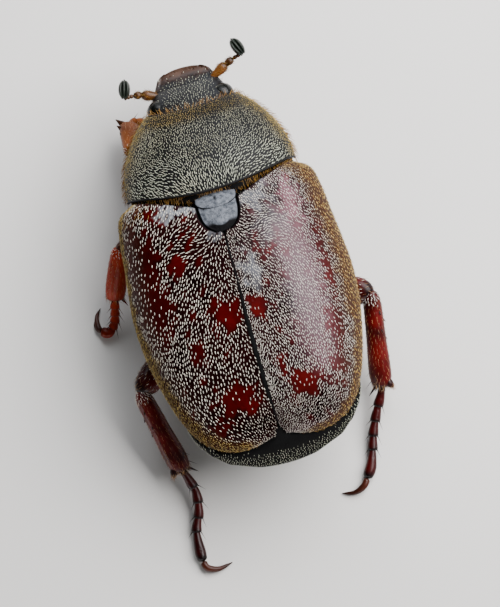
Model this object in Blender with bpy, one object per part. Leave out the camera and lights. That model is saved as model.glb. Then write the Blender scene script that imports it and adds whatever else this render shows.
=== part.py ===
"""A Welsh chafer, Hoplia philanthus, at life size, standing on the floor on its six feet.

The head points to -Y, the animal's left is +X and the back is up. The shapes are written in
millimetres, with x = 0 on the midline, y = 0 at the scutellum's tip and z = 0 on the floor, and
the whole animal is then moved so that the middle of its box stands on the origin.
"""

import math

import bpy
import numpy as np
from mathutils import Vector

MM = 0.001

# Driving sizes, in millimetres.
SEAM = 0.06              # between sclerites that touch: 0.3 mm would be a thirtieth of the animal
SHELL_DISC = 0.45        # thickness of a wing case on its disc
SHELL_RIM = 0.20         # and at its side margin
HEAD_TILT = math.radians(40)
EYE_RADIUS = 0.25
CLUB_LENGTH = 0.44
CLUB_HEIGHT = 0.30
LEAF_STEP = 0.090        # from the middle of one leaf of the club to the next
LEAF_HALF = 0.041        # half a leaf's thickness
FLOOR = 0.0

# Wing case: its two long edges, row by row from the base to the tip. The inner edge rounds the
# scutellum and follows the suture, the outer one is the side margin, which rounds the tip.
CASE_INNER = (
    (0.49, -0.68, 3.20), (0.475, -0.42, 3.27), (0.38, -0.18, 3.31), (0.21, -0.03, 3.33),
    (0.03, 0.10, 3.34), (0.03, 1.20, 3.38), (0.03, 2.20, 3.27), (0.03, 3.10, 3.03),
    (0.03, 3.60, 2.82), (0.03, 3.90, 2.66), (0.03, 4.10, 2.53), (0.03, 4.22, 2.44),
)
CASE_OUTER = (
    (1.80, -1.20, 2.32), (2.12, -1.00, 2.14), (2.24, -0.56, 2.00), (2.30, 0.00, 1.92),
    (2.36, 0.50, 1.87), (2.42, 1.30, 1.84), (2.33, 2.25, 1.87), (2.07, 3.30, 1.95),
    (1.72, 4.02, 2.04), (1.25, 4.40, 2.12), (0.70, 4.50, 2.20), (0.14, 4.39, 2.34),
)
CASE_ACROSS = 2.8        # exponents of the arch from the suture to the margin
CASE_UP = 2.0
SHOULDER = (1.62, -0.72, 0.10, 0.34)    # x, y, height and spread of a swelling
TIP_SWELLING = (1.30, 3.55, 0.07, 0.38)
BASE_HOLLOW = (0.95, -0.30, -0.05, 0.40)

# Thorax and abdomen under the wing cases: y, half width, top, belly.
THORAX = (
    (-1.78, 0.86, 2.36, 1.42), (-1.38, 1.22, 2.66, 1.12), (-1.02, 1.54, 2.90, 0.88),
    (-0.62, 1.90, 3.08, 0.72), (0.00, 2.12, 3.12, 0.62), (0.70, 2.24, 3.12, 0.60),
    (1.42, 2.28, 3.12, 0.66),
)
ABDOMEN = (
    (1.42, 2.28, 3.10, 0.70), (2.00, 2.24, 3.06, 0.76), (2.60, 2.14, 2.96, 0.84),
    (3.20, 2.00, 2.80, 0.94), (3.75, 1.92, 2.62, 1.04), (4.20, 1.74, 2.44, 1.12),
    (4.55, 1.42, 2.24, 1.20), (4.76, 1.06, 2.04, 1.29), (4.88, 0.64, 1.84, 1.38),
)
ABDOMEN_END = 4.92
BODY_POWERS = (2.3, 1.7)                # how square a ring is above and below: 2 is an ellipse
STERNITES = 5
STERNITE_STEP = 0.035
WIDEST_Z = 1.78
PYGIDIUM_TOP = (4.02, 2.30)             # y and z of the line where the last plate begins
PYGIDIUM_FOOT = (4.84, 1.30)

# Pronotum and the rest of the first segment, from the hind edge to the front one:
# y on the midline, y at the corners, half width, top, margin height, belly.
PRONOTUM = (
    (-0.96, -1.31, 1.84, 3.20, 2.08, 1.12), (-1.12, -1.47, 1.86, 3.25, 2.04, 1.02),
    (-1.55, -1.86, 1.80, 3.26, 1.96, 0.95), (-2.02, -2.28, 1.63, 3.13, 1.90, 0.96),
    (-2.48, -2.70, 1.36, 2.92, 1.86, 1.08), (-2.78, -2.95, 1.12, 2.71, 1.86, 1.22),
    (-2.88, -3.03, 1.01, 2.60, 1.88, 1.32),
)
PRONOTUM_BELLY_SLANT = (-0.35, 0.30)    # how far the belly lies behind the margin, hind and front
PRONOTUM_POWERS = (2.15, 1.75)

# Head, along its own axis from the neck: distance, half width, top, bottom, square to the axis.
HEAD_ROOT = (0.0, -2.80, 2.45)
HEAD = (
    (-0.32, 0.46, -0.14, -0.78), (0.00, 0.66, -0.03, -0.92), (0.30, 0.76, 0.02, -0.96),
    (0.58, 0.80, 0.03, -0.90), (0.82, 0.78, 0.01, -0.76), (1.02, 0.72, -0.02, -0.58),
    (1.18, 0.65, -0.01, -0.40), (1.30, 0.60, 0.03, -0.28), (1.36, 0.53, 0.03, -0.18),
)
HEAD_POWERS = (2.9, 2.2)
MANDIBLE = (0.26, 1.00, -0.62)          # in the head's axes, as the eye
MANDIBLE_SIZE = (0.22, 0.20, 0.17)
EYE = (0.71, 0.64, -0.28)               # sideways, along and square to the head's axis

SCUTELLUM = (0.43, -0.68, 0.00, 3.30, 0.50)    # half width, front, tip, height, thickness

# Antennae: the joints of the stem, then the club's root and tip.
ANTENNAE = {
    "left": ((0.55, -3.42, 1.66), (0.99, -3.58, 1.70), (1.15, -3.60, 1.72), (1.31, -3.60, 1.72),
             (1.35, -3.60, 1.73), (1.24, -4.00, 1.74)),
    "right": ((-0.55, -3.52, 1.64), (-0.97, -3.74, 1.70), (-1.13, -3.80, 1.74), (-1.30, -3.84, 1.78),
              (-1.36, -3.83, 1.79), (-1.19, -4.22, 1.86)),
}
STEM_RADII = (0.12, 0.11, 0.08, 0.075, 0.085)
STEM_BEADS = (0.92, 1.18)               # the stem is narrow between its joints and wide in them
CLUB_ROOT = (0.115, 0.10, 0.115)        # radii of the knob that joins the leaves of the club
PALPS = {"left": 1, "right": -1}
PALP = (                                # in the head's axes
    (0.30, 0.98, -0.66), (0.38, 1.10, -0.84), (0.40, 1.28, -0.92), (0.37, 1.46, -0.90), (0.34, 1.58, -0.84),
)
PALP_RADII = (0.10, 0.08, 0.095, 0.09, 0.045)

# Legs: the coxa, knee, ankle, then the points that the tarsus and its longer claw follow.
LEGS = {
    "front_left": dict(
        coxa=(0.52, -1.95, 0.80), knee=(1.54, -2.50, 1.20), ankle=(1.41, -3.18, 0.54),
        tarsus=((1.32, -3.26, 0.42), (1.12, -3.22, 0.26), (0.88, -3.20, 0.15), (0.64, -3.32, 0.11)),
        claw=((0.56, -3.42, 0.10), (0.51, -3.54, 0.06), (0.54, -3.66, 0.04)),
    ),
    "front_right": dict(
        coxa=(-0.52, -1.95, 0.80), knee=(-1.10, -2.28, 1.14), ankle=(-0.94, -2.86, 0.50),
        tarsus=((-0.88, -3.00, 0.38), (-0.74, -3.20, 0.24), (-0.57, -3.38, 0.15), (-0.40, -3.54, 0.10)),
        claw=((-0.34, -3.63, 0.10), (-0.32, -3.73, 0.06), (-0.37, -3.82, 0.04)),
    ),
    "middle_left": dict(
        coxa=(0.62, -0.30, 0.62), knee=(2.33, -0.54, 1.44), ankle=(2.72, 0.38, 0.60),
        tarsus=((2.78, 0.54, 0.46), (2.86, 0.78, 0.27), (3.03, 0.98, 0.14), (3.21, 0.90, 0.11)),
        claw=((3.25, 0.78, 0.10), (3.22, 0.56, 0.06), (3.10, 0.40, 0.04)),
    ),
    "middle_right": dict(
        coxa=(-0.62, -0.30, 0.62), knee=(-1.92, -0.34, 1.36), ankle=(-1.98, 0.60, 0.54),
        tarsus=((-1.98, 0.74, 0.44), (-1.95, 1.02, 0.26), (-1.88, 1.36, 0.14), (-1.78, 1.64, 0.11)),
        claw=((-1.71, 1.74, 0.10), (-1.59, 1.80, 0.06), (-1.46, 1.77, 0.04)),
    ),
    "hind_left": dict(
        coxa=(0.74, 1.12, 0.56), knee=(2.70, 2.54, 1.32), ankle=(2.29, 4.36, 0.50),
        tarsus=((2.23, 4.52, 0.42), (2.15, 4.84, 0.30), (2.20, 5.24, 0.20), (2.36, 5.62, 0.13),
                (2.40, 6.06, 0.11), (2.40, 6.30, 0.11)),
        claw=((2.34, 6.46, 0.11), (2.12, 6.54, 0.07), (1.80, 6.48, 0.04)),
    ),
    "hind_right": dict(
        coxa=(-0.74, 1.12, 0.56), knee=(-2.64, 1.80, 1.34), ankle=(-2.30, 3.77, 0.50),
        tarsus=((-2.22, 3.93, 0.42), (-2.06, 4.20, 0.31), (-1.87, 4.60, 0.20), (-1.74, 4.98, 0.13),
                (-1.62, 5.30, 0.11), (-1.47, 5.52, 0.11)),
        claw=((-1.36, 5.66, 0.11), (-1.14, 5.74, 0.07), (-0.86, 5.68, 0.04)),
    ),
}
COXA_RADII = {"front": (0.30, 0.30, 0.34), "middle": (0.44, 0.34, 0.30), "hind": (0.62, 0.34, 0.28)}
COXA_INSET, COXA_RISE = 0.12, 0.06
# Thickness along a femur and a tibia: share of the length, half width, half thickness.
FEMUR = {
    "front": ((0.0, 0.16, 0.15), (0.25, 0.27, 0.22), (0.65, 0.29, 0.23), (1.0, 0.21, 0.18)),
    "middle": ((0.0, 0.16, 0.15), (0.25, 0.27, 0.21), (0.65, 0.29, 0.22), (1.0, 0.20, 0.18)),
    "hind": ((0.0, 0.18, 0.16), (0.25, 0.31, 0.22), (0.65, 0.36, 0.25), (1.0, 0.24, 0.20)),
}
TIBIA = {
    "front": ((0.0, 0.15, 0.14), (0.3, 0.19, 0.15), (0.75, 0.25, 0.15), (1.0, 0.22, 0.13)),
    "middle": ((0.0, 0.14, 0.14), (0.35, 0.20, 0.17), (0.8, 0.23, 0.18), (1.0, 0.19, 0.15)),
    "hind": ((0.0, 0.16, 0.16), (0.3, 0.23, 0.20), (0.75, 0.28, 0.23), (1.0, 0.21, 0.17)),
}
TEETH = ((0.94, 0.24), (0.74, 0.21), (0.54, 0.13))    # of a front tibia: share of its length, own length
TOOTH_LEAN, TOOTH_RADIUS = 0.6, 0.085
EDGE_SPINES = (0.38, 0.56, 0.74)        # shares of the other tibiae where their outer edge has a spine
EDGE_SPINE_ROOT = {"middle": 0.15, "hind": 0.19}
EDGE_SPINE_LEAN, EDGE_SPINE_LENGTH, EDGE_SPINE_RADIUS = 1.2, 0.15, 0.05
SPUR_TURNS = (-1.2, 0.0, 1.2, 2.6, 3.7)    # radians round the tibia's end, from its outer edge
SPUR_SETBACK, SPUR_ROOT, SPUR_LEAN, SPUR_LENGTH, SPUR_RADIUS = 0.10, 0.13, 0.75, 0.24, 0.06
TARSOMERES = (0.0, 0.20, 0.37, 0.53, 0.68, 1.0)    # where the five joints of a tarsus begin and end
TARSUS_RADIUS = {"front": 0.10, "middle": 0.115, "hind": 0.125}
CLAW_RADIUS = {"front": 0.065, "middle": 0.07, "hind": 0.085}
SHORT_CLAW = 0.55        # length of the second claw of a front or middle foot, as a share

COLOURS = {
    "black_chitin": ((0.016, 0.016, 0.018, 1.0), 0.38),
    "wing_case": ((0.110, 0.012, 0.010, 1.0), 0.30),
    "grey_plate": ((0.090, 0.100, 0.115, 1.0), 0.42),
    "leg": ((0.120, 0.014, 0.008, 1.0), 0.30),
    "front_leg": ((0.330, 0.085, 0.020, 1.0), 0.36),
    "claw": ((0.060, 0.012, 0.008, 1.0), 0.26),
    "eye": ((0.010, 0.011, 0.010, 1.0), 0.18),
    "antenna_stem": ((0.420, 0.170, 0.040, 1.0), 0.42),
    "antenna_club": ((0.022, 0.024, 0.022, 1.0), 0.40),
}


def clear_scene():
    for obj in list(bpy.data.objects):
        bpy.data.objects.remove(obj)


def spline(points, t):
    """Catmull-Rom through the points, with t from 0 to 1 over the whole list."""
    points = np.asarray(points, float)
    ends = np.vstack([2 * points[0] - points[1], points, 2 * points[-1] - points[-2]])
    spans = len(points) - 1
    at = min(max(t, 0.0), 1.0) * spans
    k = min(int(at), spans - 1)
    f = at - k
    a, b, c, d = ends[k:k + 4]
    return 0.5 * (2 * b + (c - a) * f + (2 * a - 5 * b + 4 * c - d) * f**2 + (3 * b - a - 3 * c + d) * f**3)


def along(table, t):
    """The table's columns at t, read smoothly by its first column."""
    table = np.asarray(table, float)
    keys = table[:, 0]
    k = int(np.clip(np.searchsorted(keys, t) - 1, 0, len(keys) - 2))
    share = (t - keys[k]) / (keys[k + 1] - keys[k])
    return spline(table[:, 1:], (k + share) / (len(keys) - 1))


def unit(vector):
    vector = np.asarray(vector, float)
    return vector / max(np.linalg.norm(vector), 1e-12)


def new_object(name, vertices, faces):
    mesh = bpy.data.meshes.new(name)
    mesh.from_pydata([Vector(v) * MM for v in vertices], [], faces)
    obj = bpy.data.objects.new(name, mesh)
    bpy.context.scene.collection.objects.link(obj)
    if volume(mesh) < 0:
        mesh.flip_normals()
    return obj


def volume(mesh):
    """Six times the volume inside the mesh, negative if its faces point inwards."""
    mesh.calc_loop_triangles()
    corners = np.array([[mesh.vertices[i].co for i in t.vertices] for t in mesh.loop_triangles], float)
    return float(np.einsum("ij,ij->i", corners[:, 0], np.cross(corners[:, 1], corners[:, 2])).sum())


def loft(name, rings):
    """A closed body through rings of equally many points, each end closed by a fan."""
    sides = len(rings[0])
    vertices = [p for ring in rings for p in ring]
    faces = []
    for k in range(len(rings) - 1):
        for i in range(sides):
            j = (i + 1) % sides
            faces.append((k * sides + i, k * sides + j, (k + 1) * sides + j, (k + 1) * sides + i))
    for ring, flip in ((0, True), (len(rings) - 1, False)):
        centre = len(vertices)
        vertices.append(np.mean(rings[ring], axis=0))
        for i in range(sides):
            edge = (ring * sides + i, ring * sides + (i + 1) % sides)
            faces.append((*(edge[::-1] if flip else edge), centre))
    return new_object(name, vertices, faces)


def tube_rings(points, widths, heights, sides, flat=(0, 0, 1)):
    """Rings square to a path; heights are measured towards flat, and widths across it."""
    points = [np.asarray(p, float) for p in points]
    rings = []
    for k, point in enumerate(points):
        ahead = unit(points[min(k + 1, len(points) - 1)] - point) if k < len(points) - 1 else 0
        behind = unit(point - points[k - 1]) if k else 0
        tangent = unit(ahead + behind)
        across = unit(np.cross(tangent, flat))
        up = np.cross(across, tangent)
        turn = [2 * math.pi * i / sides for i in range(sides)]
        rings.append([point + across * widths[k] * math.cos(a) + up * heights[k] * math.sin(a) for a in turn])
    return rings


def ball(name, centre, radii, rings=8, sides=12):
    """An ellipsoid with its poles along Z."""
    centre, radii = np.asarray(centre, float), np.asarray(radii, float)
    circles = []
    for k in range(rings):
        polar = math.pi * (k + 0.5) / rings
        turn = [2 * math.pi * i / sides for i in range(sides)]
        circles.append([centre + radii * (math.sin(polar) * math.cos(a), math.sin(polar) * math.sin(a),
                                          math.cos(polar)) for a in turn])
    return loft(name, circles)


def swell(obj, distance):
    """A copy of the object with its surface moved out, to cut its room in a neighbour."""
    copy = obj.copy()
    copy.data = obj.data.copy()
    bpy.context.scene.collection.objects.link(copy)
    for vertex, normal in zip(copy.data.vertices, [n.vector.copy() for n in obj.data.vertex_normals]):
        vertex.co += normal * distance * MM
    return copy


def combine(obj, operation, others, solver="EXACT"):
    """Applies one Boolean with the other objects, removes them and keeps the largest closed body.

    The solver is MANIFOLD for the rooms of the femora and for the wing cases' rooms in the hind end,
    where EXACT leaves edges that three faces share."""
    group = bpy.data.collections.new("pieces")
    bpy.context.scene.collection.children.link(group)
    for other in others:
        for owner in list(other.users_collection):
            owner.objects.unlink(other)
        group.objects.link(other)
    modifier = obj.modifiers.new("pieces", "BOOLEAN")
    modifier.operation = operation
    modifier.operand_type = "COLLECTION"
    modifier.collection = group
    modifier.solver = solver
    graph = bpy.context.evaluated_depsgraph_get()
    made = bpy.data.meshes.new_from_object(obj.evaluated_get(graph))
    obj.modifiers.clear()
    obj.data = made
    for other in others:
        bpy.data.objects.remove(other)
    bpy.data.collections.remove(group)
    keep_largest(obj)
    return obj


def keep_largest(obj):
    mesh = obj.data
    parent = list(range(len(mesh.vertices)))

    def root(i):
        while parent[i] != i:
            parent[i] = parent[parent[i]]
            i = parent[i]
        return i

    for edge in mesh.edges:
        a, b = (root(i) for i in edge.vertices)
        parent[a] = b
    groups = {}
    for polygon in mesh.polygons:
        groups.setdefault(root(polygon.vertices[0]), []).append(tuple(polygon.vertices))
    if len(groups) < 2:
        return
    spans = {}
    for key, faces in groups.items():
        places = np.array([mesh.vertices[i].co for face in faces for i in face], float)
        spans[key] = np.prod(np.ptp(places, axis=0))
    faces = groups[max(spans, key=spans.get)]
    used = sorted({i for face in faces for i in face})
    index = {old: new for new, old in enumerate(used)}
    kept = bpy.data.meshes.new(mesh.name)
    kept.from_pydata([mesh.vertices[i].co for i in used], [], [tuple(index[i] for i in f) for f in faces])
    obj.data = kept


def half_space(name, point, normal, reach=12.0):
    """A block whose one face passes through the point, on the side that the normal points to."""
    normal = unit(normal)
    across = unit(np.cross(normal, (1, 0, 0)))
    side = np.cross(normal, across)
    square = [(-1, -1), (1, -1), (1, 1), (-1, 1)]
    near = [np.asarray(point) + reach * (a * across + b * side) for a, b in square]
    return loft(name, [near, [p + normal * reach for p in near]])


# Wing cases and scutellum


def swelling(x, y, spot):
    centre_x, centre_y, height, spread = spot
    return height * math.exp(-((x - centre_x) ** 2 + (y - centre_y) ** 2) / (2 * spread**2))


def case_point(u, phi):
    """The upper surface of the left wing case, with u from base to tip and phi from suture to margin."""
    inner, outer = spline(CASE_INNER, u), spline(CASE_OUTER, u)
    across = math.sin(phi) ** (2 / CASE_ACROSS)
    rise = max(math.cos(phi), 0.0) ** (2 / CASE_UP)
    x, y = (inner + (outer - inner) * across)[:2]
    z = outer[2] + (inner[2] - outer[2]) * rise
    z += sum(swelling(x, y, spot) for spot in (SHOULDER, TIP_SWELLING, BASE_HOLLOW)) * rise
    return np.array((x, y, z))


def wing_case(name, side, above=0.0, below=0.0, drop=0.0, rows=24, columns=11):
    """A wing case, or the block that cuts its room: above and below widen it, drop lowers its rim."""
    upper, lower = [], []
    step = 1e-3
    for i in range(rows + 1):
        u = i / rows
        for j in range(columns + 1):
            phi = 0.5 * math.pi * j / columns
            point = case_point(u, phi)
            along_u = case_point(min(u + step, 1), phi) - case_point(max(u - step, 0), phi)
            along_phi = case_point(u, min(phi + step, 0.5 * math.pi)) - case_point(u, max(phi - step, 0))
            normal = unit(np.cross(along_phi, along_u))
            normal = normal * (1 if normal[2] >= 0 else -1)
            if j == 0:
                normal[0] = 0
            if i == 0:
                normal[1] = 0
            if j == columns:
                normal = np.array((*unit(normal[:2]), 0.0))
            normal = unit(normal)
            thickness = SHELL_DISC + (SHELL_RIM - SHELL_DISC) * (j / columns) ** 2
            if drop:
                point = point + (-2 * SEAM * (j == 0), -drop * (i == 0), -drop * (j == columns))
            upper.append((point + normal * above) * (side, 1, 1))
            lower.append((point - normal * (thickness + below)) * (side, 1, 1))
    width = columns + 1
    count = len(upper)
    faces = []
    for i in range(rows):
        for j in range(columns):
            a, b = i * width + j, i * width + j + 1
            c, d = b + width, a + width
            faces += [(a, b, c, d), (a + count, d + count, c + count, b + count)]
    rim = [j for j in range(columns + 1)]
    rim += [i * width + columns for i in range(1, rows + 1)]
    rim += [rows * width + j for j in range(columns - 1, -1, -1)]
    rim += [i * width for i in range(rows - 1, 0, -1)]
    for k, a in enumerate(rim):
        b = rim[(k + 1) % len(rim)]
        faces.append((b, a, a + count, b + count))
    return new_object(name, upper + lower, faces)


def scutellum(name, grow=0.0):
    half_width, front, tip, height, thickness = SCUTELLUM
    steps = 14
    outline = []
    for k in range(steps + 1):
        angle = math.pi * k / steps
        x = (half_width + grow) * math.cos(angle)
        y = front + (tip - front + grow) * math.sin(angle) ** 0.72
        outline.append((x, y - grow * (k in (0, steps))))
    top = [(x, y, height + grow - 0.10 * (x / half_width) ** 2 + 0.03 * y) for x, y in outline]
    bottom = [(x, y, height - thickness - grow) for x, y in outline]
    if grow:
        top = [(x, y, z + thickness) for x, y, z in top]
    return loft(name, [bottom, top])


# Body


def body_ring(row, sides=32):
    y, half_width, top, belly = row
    ring = []
    for i in range(sides):
        a = 2 * math.pi * i / sides
        c, s = math.cos(a), math.sin(a)
        power = BODY_POWERS[0] if s > 0 else BODY_POWERS[1]
        reach = top - WIDEST_Z if s > 0 else WIDEST_Z - belly
        x = half_width * math.copysign(abs(c) ** (2 / power), c)
        ring.append((x, y, WIDEST_Z + reach * math.copysign(abs(s) ** (2 / power), s)))
    return ring


def thorax():
    rows = [(y, *along(THORAX, y)) for y in np.linspace(THORAX[0][0], THORAX[-1][0] - SEAM / 2, 13)]
    return loft("thorax", [body_ring(row) for row in rows])


def abdomen_rings():
    start, last = ABDOMEN[0][0] + SEAM / 2, ABDOMEN[-1][0]
    per = 3
    rings = []
    for k in range(STERNITES * per + 1):
        y = start + (last - start) * k / (STERNITES * per)
        half_width, top, belly = along(ABDOMEN, y)
        if k % per == 0 and 0 < k < STERNITES * per:
            rings.append(body_ring((y - 0.03, half_width, top, belly)))
            belly += STERNITE_STEP
            half_width -= STERNITE_STEP
        rings.append(body_ring((y, half_width, top, belly)))
    tail = np.mean(rings[-1], axis=0)
    rings.append([tail + (p - tail) * (0.5, 1, 0.5) + (0, ABDOMEN_END - tail[1], 0) for p in np.array(rings[-1])])
    return rings


def pygidium_plane(shift):
    (top_y, top_z), (foot_y, foot_z) = PYGIDIUM_TOP, PYGIDIUM_FOOT
    normal = unit((0, top_z - foot_z, foot_y - top_y))
    return np.array((0, top_y, top_z)) + normal * shift, normal


def coxae(pair):
    """The two swellings that a pair of legs grows from, a little inside and above the femora's roots."""
    places = []
    for side, sign in (("left", 1), ("right", -1)):
        places.append(np.array(LEGS[f"{pair}_{side}"]["coxa"]) + (-sign * COXA_INSET, 0, COXA_RISE))
    return [ball("coxa", place, COXA_RADII[pair], 6, 10) for place in places]


def prothorax_ring(row, share, sides=32):
    y_mid, y_corner, half_width, top, margin, belly = row
    slant = PRONOTUM_BELLY_SLANT[0] + (PRONOTUM_BELLY_SLANT[1] - PRONOTUM_BELLY_SLANT[0]) * share
    ring = []
    for i in range(sides):
        a = 2 * math.pi * i / sides
        c, s = math.cos(a), math.sin(a)
        power = PRONOTUM_POWERS[0] if s > 0 else PRONOTUM_POWERS[1]
        x = half_width * math.copysign(abs(c) ** (2 / power), c)
        rise = abs(s) ** (2 / power)
        if s >= 0:
            y = y_mid + (y_corner - y_mid) * (x / half_width) ** 2
            ring.append((x, y, margin + (top - margin) * rise))
        else:
            ring.append((x, y_corner + slant * rise, margin - (margin - belly) * rise))
    return ring


def prothorax():
    steps = 13
    table = [(k / (len(PRONOTUM) - 1), *row) for k, row in enumerate(PRONOTUM)]
    return loft("pronotum", [prothorax_ring(along(table, k / steps), k / steps) for k in range(steps + 1)])


# Head


def head_place(sideways, forward, up):
    """A point in the head's own axes, which tip down towards the mouth."""
    root = np.array(HEAD_ROOT)
    axis = np.array((0, -math.cos(HEAD_TILT), -math.sin(HEAD_TILT)))
    normal = np.array((0, -math.sin(HEAD_TILT), math.cos(HEAD_TILT)))
    return root + (sideways, 0, 0) + axis * forward + normal * up


def head():
    rings = []
    sides = 28
    for row in HEAD:
        forward, half_width, top, bottom = row
        middle, reach = (top + bottom) / 2, (top - bottom) / 2
        ring = []
        for i in range(sides):
            a = 2 * math.pi * i / sides
            c, s = math.cos(a), math.sin(a)
            power = HEAD_POWERS[0] if s > 0 else HEAD_POWERS[1]
            x = half_width * math.copysign(abs(c) ** (2 / power), c)
            ring.append(head_place(x, forward, middle + reach * math.copysign(abs(s) ** (2 / power), s)))
        rings.append(ring)
    return loft("head", rings)


def mandibles():
    """The closed jaws, which stand out under the clypeus with the line of the mouth between them."""
    sideways, forward, up = MANDIBLE
    return [ball("mandible", head_place(sign * sideways, forward, up), MANDIBLE_SIZE, 6, 10) for sign in (1, -1)]


def antenna_stem(side):
    points = ANTENNAE[side][:5]
    path = [spline(points, t) for t in np.linspace(0, 1, 9)]
    sizes = [float(spline([(r, 0) for r in STEM_RADII], t)[0]) for t in np.linspace(0, 1, 9)]
    sizes = [radius * STEM_BEADS[k % 2] for k, radius in enumerate(sizes)]
    end = unit(path[-1] - path[-2])
    path[-1] = path[-1] - end * SEAM
    return loft(f"antenna_stem_{side}", tube_rings(path, sizes, sizes, 8))


def antenna_club(side):
    """Three leaves side by side, joined at their root."""
    root, tip = (np.array(p) for p in ANTENNAE[side][4:])
    axis = unit(tip - root)
    spread = unit(np.cross(axis, (0, 0, 1)))
    rise = np.cross(spread, axis)
    leaves = []
    for place in (-1, 0, 1):
        rings = []
        for k in range(7):
            t = k / 6
            round_off = math.sin(math.pi * (0.08 + 0.88 * t))
            length = CLUB_LENGTH * (1 - 0.08 * abs(place))
            bow = 0.020 * place * math.sin(math.pi * t)
            centre = root + axis * length * t + spread * (LEAF_STEP * place * (1 - 0.12 * t) + bow)
            thick = LEAF_HALF * round_off**0.3
            tall = 0.5 * CLUB_HEIGHT * round_off**0.6
            rings.append([centre + spread * thick * math.cos(a) + rise * tall * math.sin(a)
                          for a in (2 * math.pi * i / 8 for i in range(8))])
        leaves.append(loft("leaf", rings))
    base = ball(f"antenna_club_{side}", root + axis * CLUB_ROOT[0] * 0.6, CLUB_ROOT, 6, 10)
    return combine(base, "UNION", leaves)


def palp(side, sign):
    path = [head_place(sign * sideways, forward, up) for sideways, forward, up in PALP]
    return loft(f"palp_{side}", tube_rings(path, PALP_RADII, PALP_RADII, 8, (1, 0, 0)))


# Legs


def spine(root, direction, length, radius, sides=6):
    root, direction = np.asarray(root, float), unit(direction)
    hint = (0, 0, 1) if abs(direction[2]) < 0.9 else (1, 0, 0)
    across = unit(np.cross(direction, hint))
    up = np.cross(across, direction)
    rings = []
    for share, size in ((-0.35, 1.0), (0.35, 0.82), (1.0, 0.16)):
        rings.append([root + direction * length * share
                      + radius * size * (across * math.cos(a) + up * math.sin(a))
                      for a in (2 * math.pi * i / sides for i in range(sides))])
    return loft("spine", rings)


def segment(name, start, end, table, sides, flat, start_cut, end_cut, steps=6):
    """A limb segment between two joints. Each end is cut by the plane that halves the bend there."""
    start, end = np.asarray(start, float), np.asarray(end, float)
    axis = unit(end - start)
    length = np.linalg.norm(end - start)
    shares = np.linspace(0, 1, steps + 1)
    sizes = [along(table, t) for t in shares]
    rings = np.array(tube_rings([start + axis * length * t for t in shares],
                                [s[0] for s in sizes], [s[1] for s in sizes], sides, flat))
    for k, (plane, sign) in ((0, (start_cut, 1)), (steps, (end_cut, -1))):
        if plane is None:
            continue
        normal = unit(plane)
        centre = (start if k == 0 else end) + normal * sign * SEAM / 2
        for i in range(sides):
            p = rings[k, i]
            rings[k, i] = p + axis * (((centre - p) @ normal) / (axis @ normal))
    return loft(name, list(rings))


def femur_flat(leg):
    """The direction a femur and tibia are thin in: square to the plane that the leg folds in."""
    coxa, knee, ankle = (np.array(leg[k]) for k in ("coxa", "knee", "ankle"))
    normal = unit(np.cross(knee - coxa, ankle - knee))
    return normal if normal[2] > 0 else -normal


def femur(name, leg, pair):
    coxa, knee, ankle = (np.array(leg[k]) for k in ("coxa", "knee", "ankle"))
    bend = unit(unit(knee - coxa) + unit(ankle - knee))
    return segment(f"{name}_femur", coxa, knee, FEMUR[pair], 12, femur_flat(leg), None, bend)


def tibia(name, leg, pair):
    coxa, knee, ankle = (np.array(leg[k]) for k in ("coxa", "knee", "ankle"))
    first = np.array(leg["tarsus"][0])
    thigh, shin = unit(knee - coxa), unit(ankle - knee)
    bend = unit(thigh + shin)
    foot_bend = unit(shin + unit(first - ankle))
    flat = femur_flat(leg)
    body = segment(f"{name}_tibia", knee, ankle, TIBIA[pair], 12, flat, bend, foot_bend)
    outer = unit(thigh - shin * (thigh @ shin))
    shin_length = np.linalg.norm(ankle - knee)
    pieces = []
    if pair == "front":
        for share, length in TEETH:
            root = knee + shin * shin_length * share + outer * SPUR_ROOT
            pieces.append(spine(root, outer + shin * TOOTH_LEAN, length, TOOTH_RADIUS))
    else:
        for share in EDGE_SPINES:
            root = knee + shin * shin_length * share + outer * EDGE_SPINE_ROOT[pair]
            pieces.append(spine(root, outer + shin * EDGE_SPINE_LEAN, EDGE_SPINE_LENGTH, EDGE_SPINE_RADIUS))
        for turn in SPUR_TURNS:
            out = outer * math.cos(turn) + flat * math.sin(turn)
            root = knee + shin * (shin_length - SPUR_SETBACK) + out * SPUR_ROOT
            pieces.append(spine(root, shin + out * SPUR_LEAN, SPUR_LENGTH, SPUR_RADIUS))
    return combine(body, "UNION", pieces)


def tarsus(name, leg, pair):
    """Five joints in one tube, each narrow where it leaves the last and wide at its end."""
    points = np.array([leg["ankle"], *leg["tarsus"]], float)
    radius = TARSUS_RADIUS[pair]
    ankle, first, knee = points[0], points[1], np.array(leg["knee"])
    fine = np.array([spline(points, t) for t in np.linspace(0, 1, 81)])
    run = np.concatenate([[0], np.cumsum(np.linalg.norm(np.diff(fine, axis=0), axis=1))])
    total = run[-1]

    def at(share):
        return np.array([np.interp(share * total, run, fine[:, i]) for i in range(3)])

    path, sizes = [], []
    for k in range(5):
        low, high = TARSOMERES[k], TARSOMERES[k + 1]
        last = k == 4
        inside = ((0.10, 0.66), (0.50, 0.90), (0.90, 1.0)) if last else ((0.14, 0.66), (0.82, 1.05))
        if k == 0:
            inside = inside[1:]
        for share, size in inside:
            path.append(at(low + (high - low) * share))
            sizes.append(radius * size)
    path = [at(0.0), *path, at(1.0) - unit(points[-1] - points[-2]) * SEAM]
    sizes = [radius * 0.7, *sizes, radius * 0.7]
    rings = np.array(tube_rings(path, sizes, sizes, 10))
    bend = unit(unit(ankle - knee) + unit(first - ankle))
    centre = ankle + bend * SEAM / 2
    axis = unit(first - ankle)
    for i in range(10):
        p = rings[0, i]
        rings[0, i] = p + axis * (((centre - p) @ bend) / (axis @ bend))
    rings[:, :, 2] = np.maximum(rings[:, :, 2], FLOOR)
    return loft(f"{name}_tarsus", list(rings))


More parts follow.
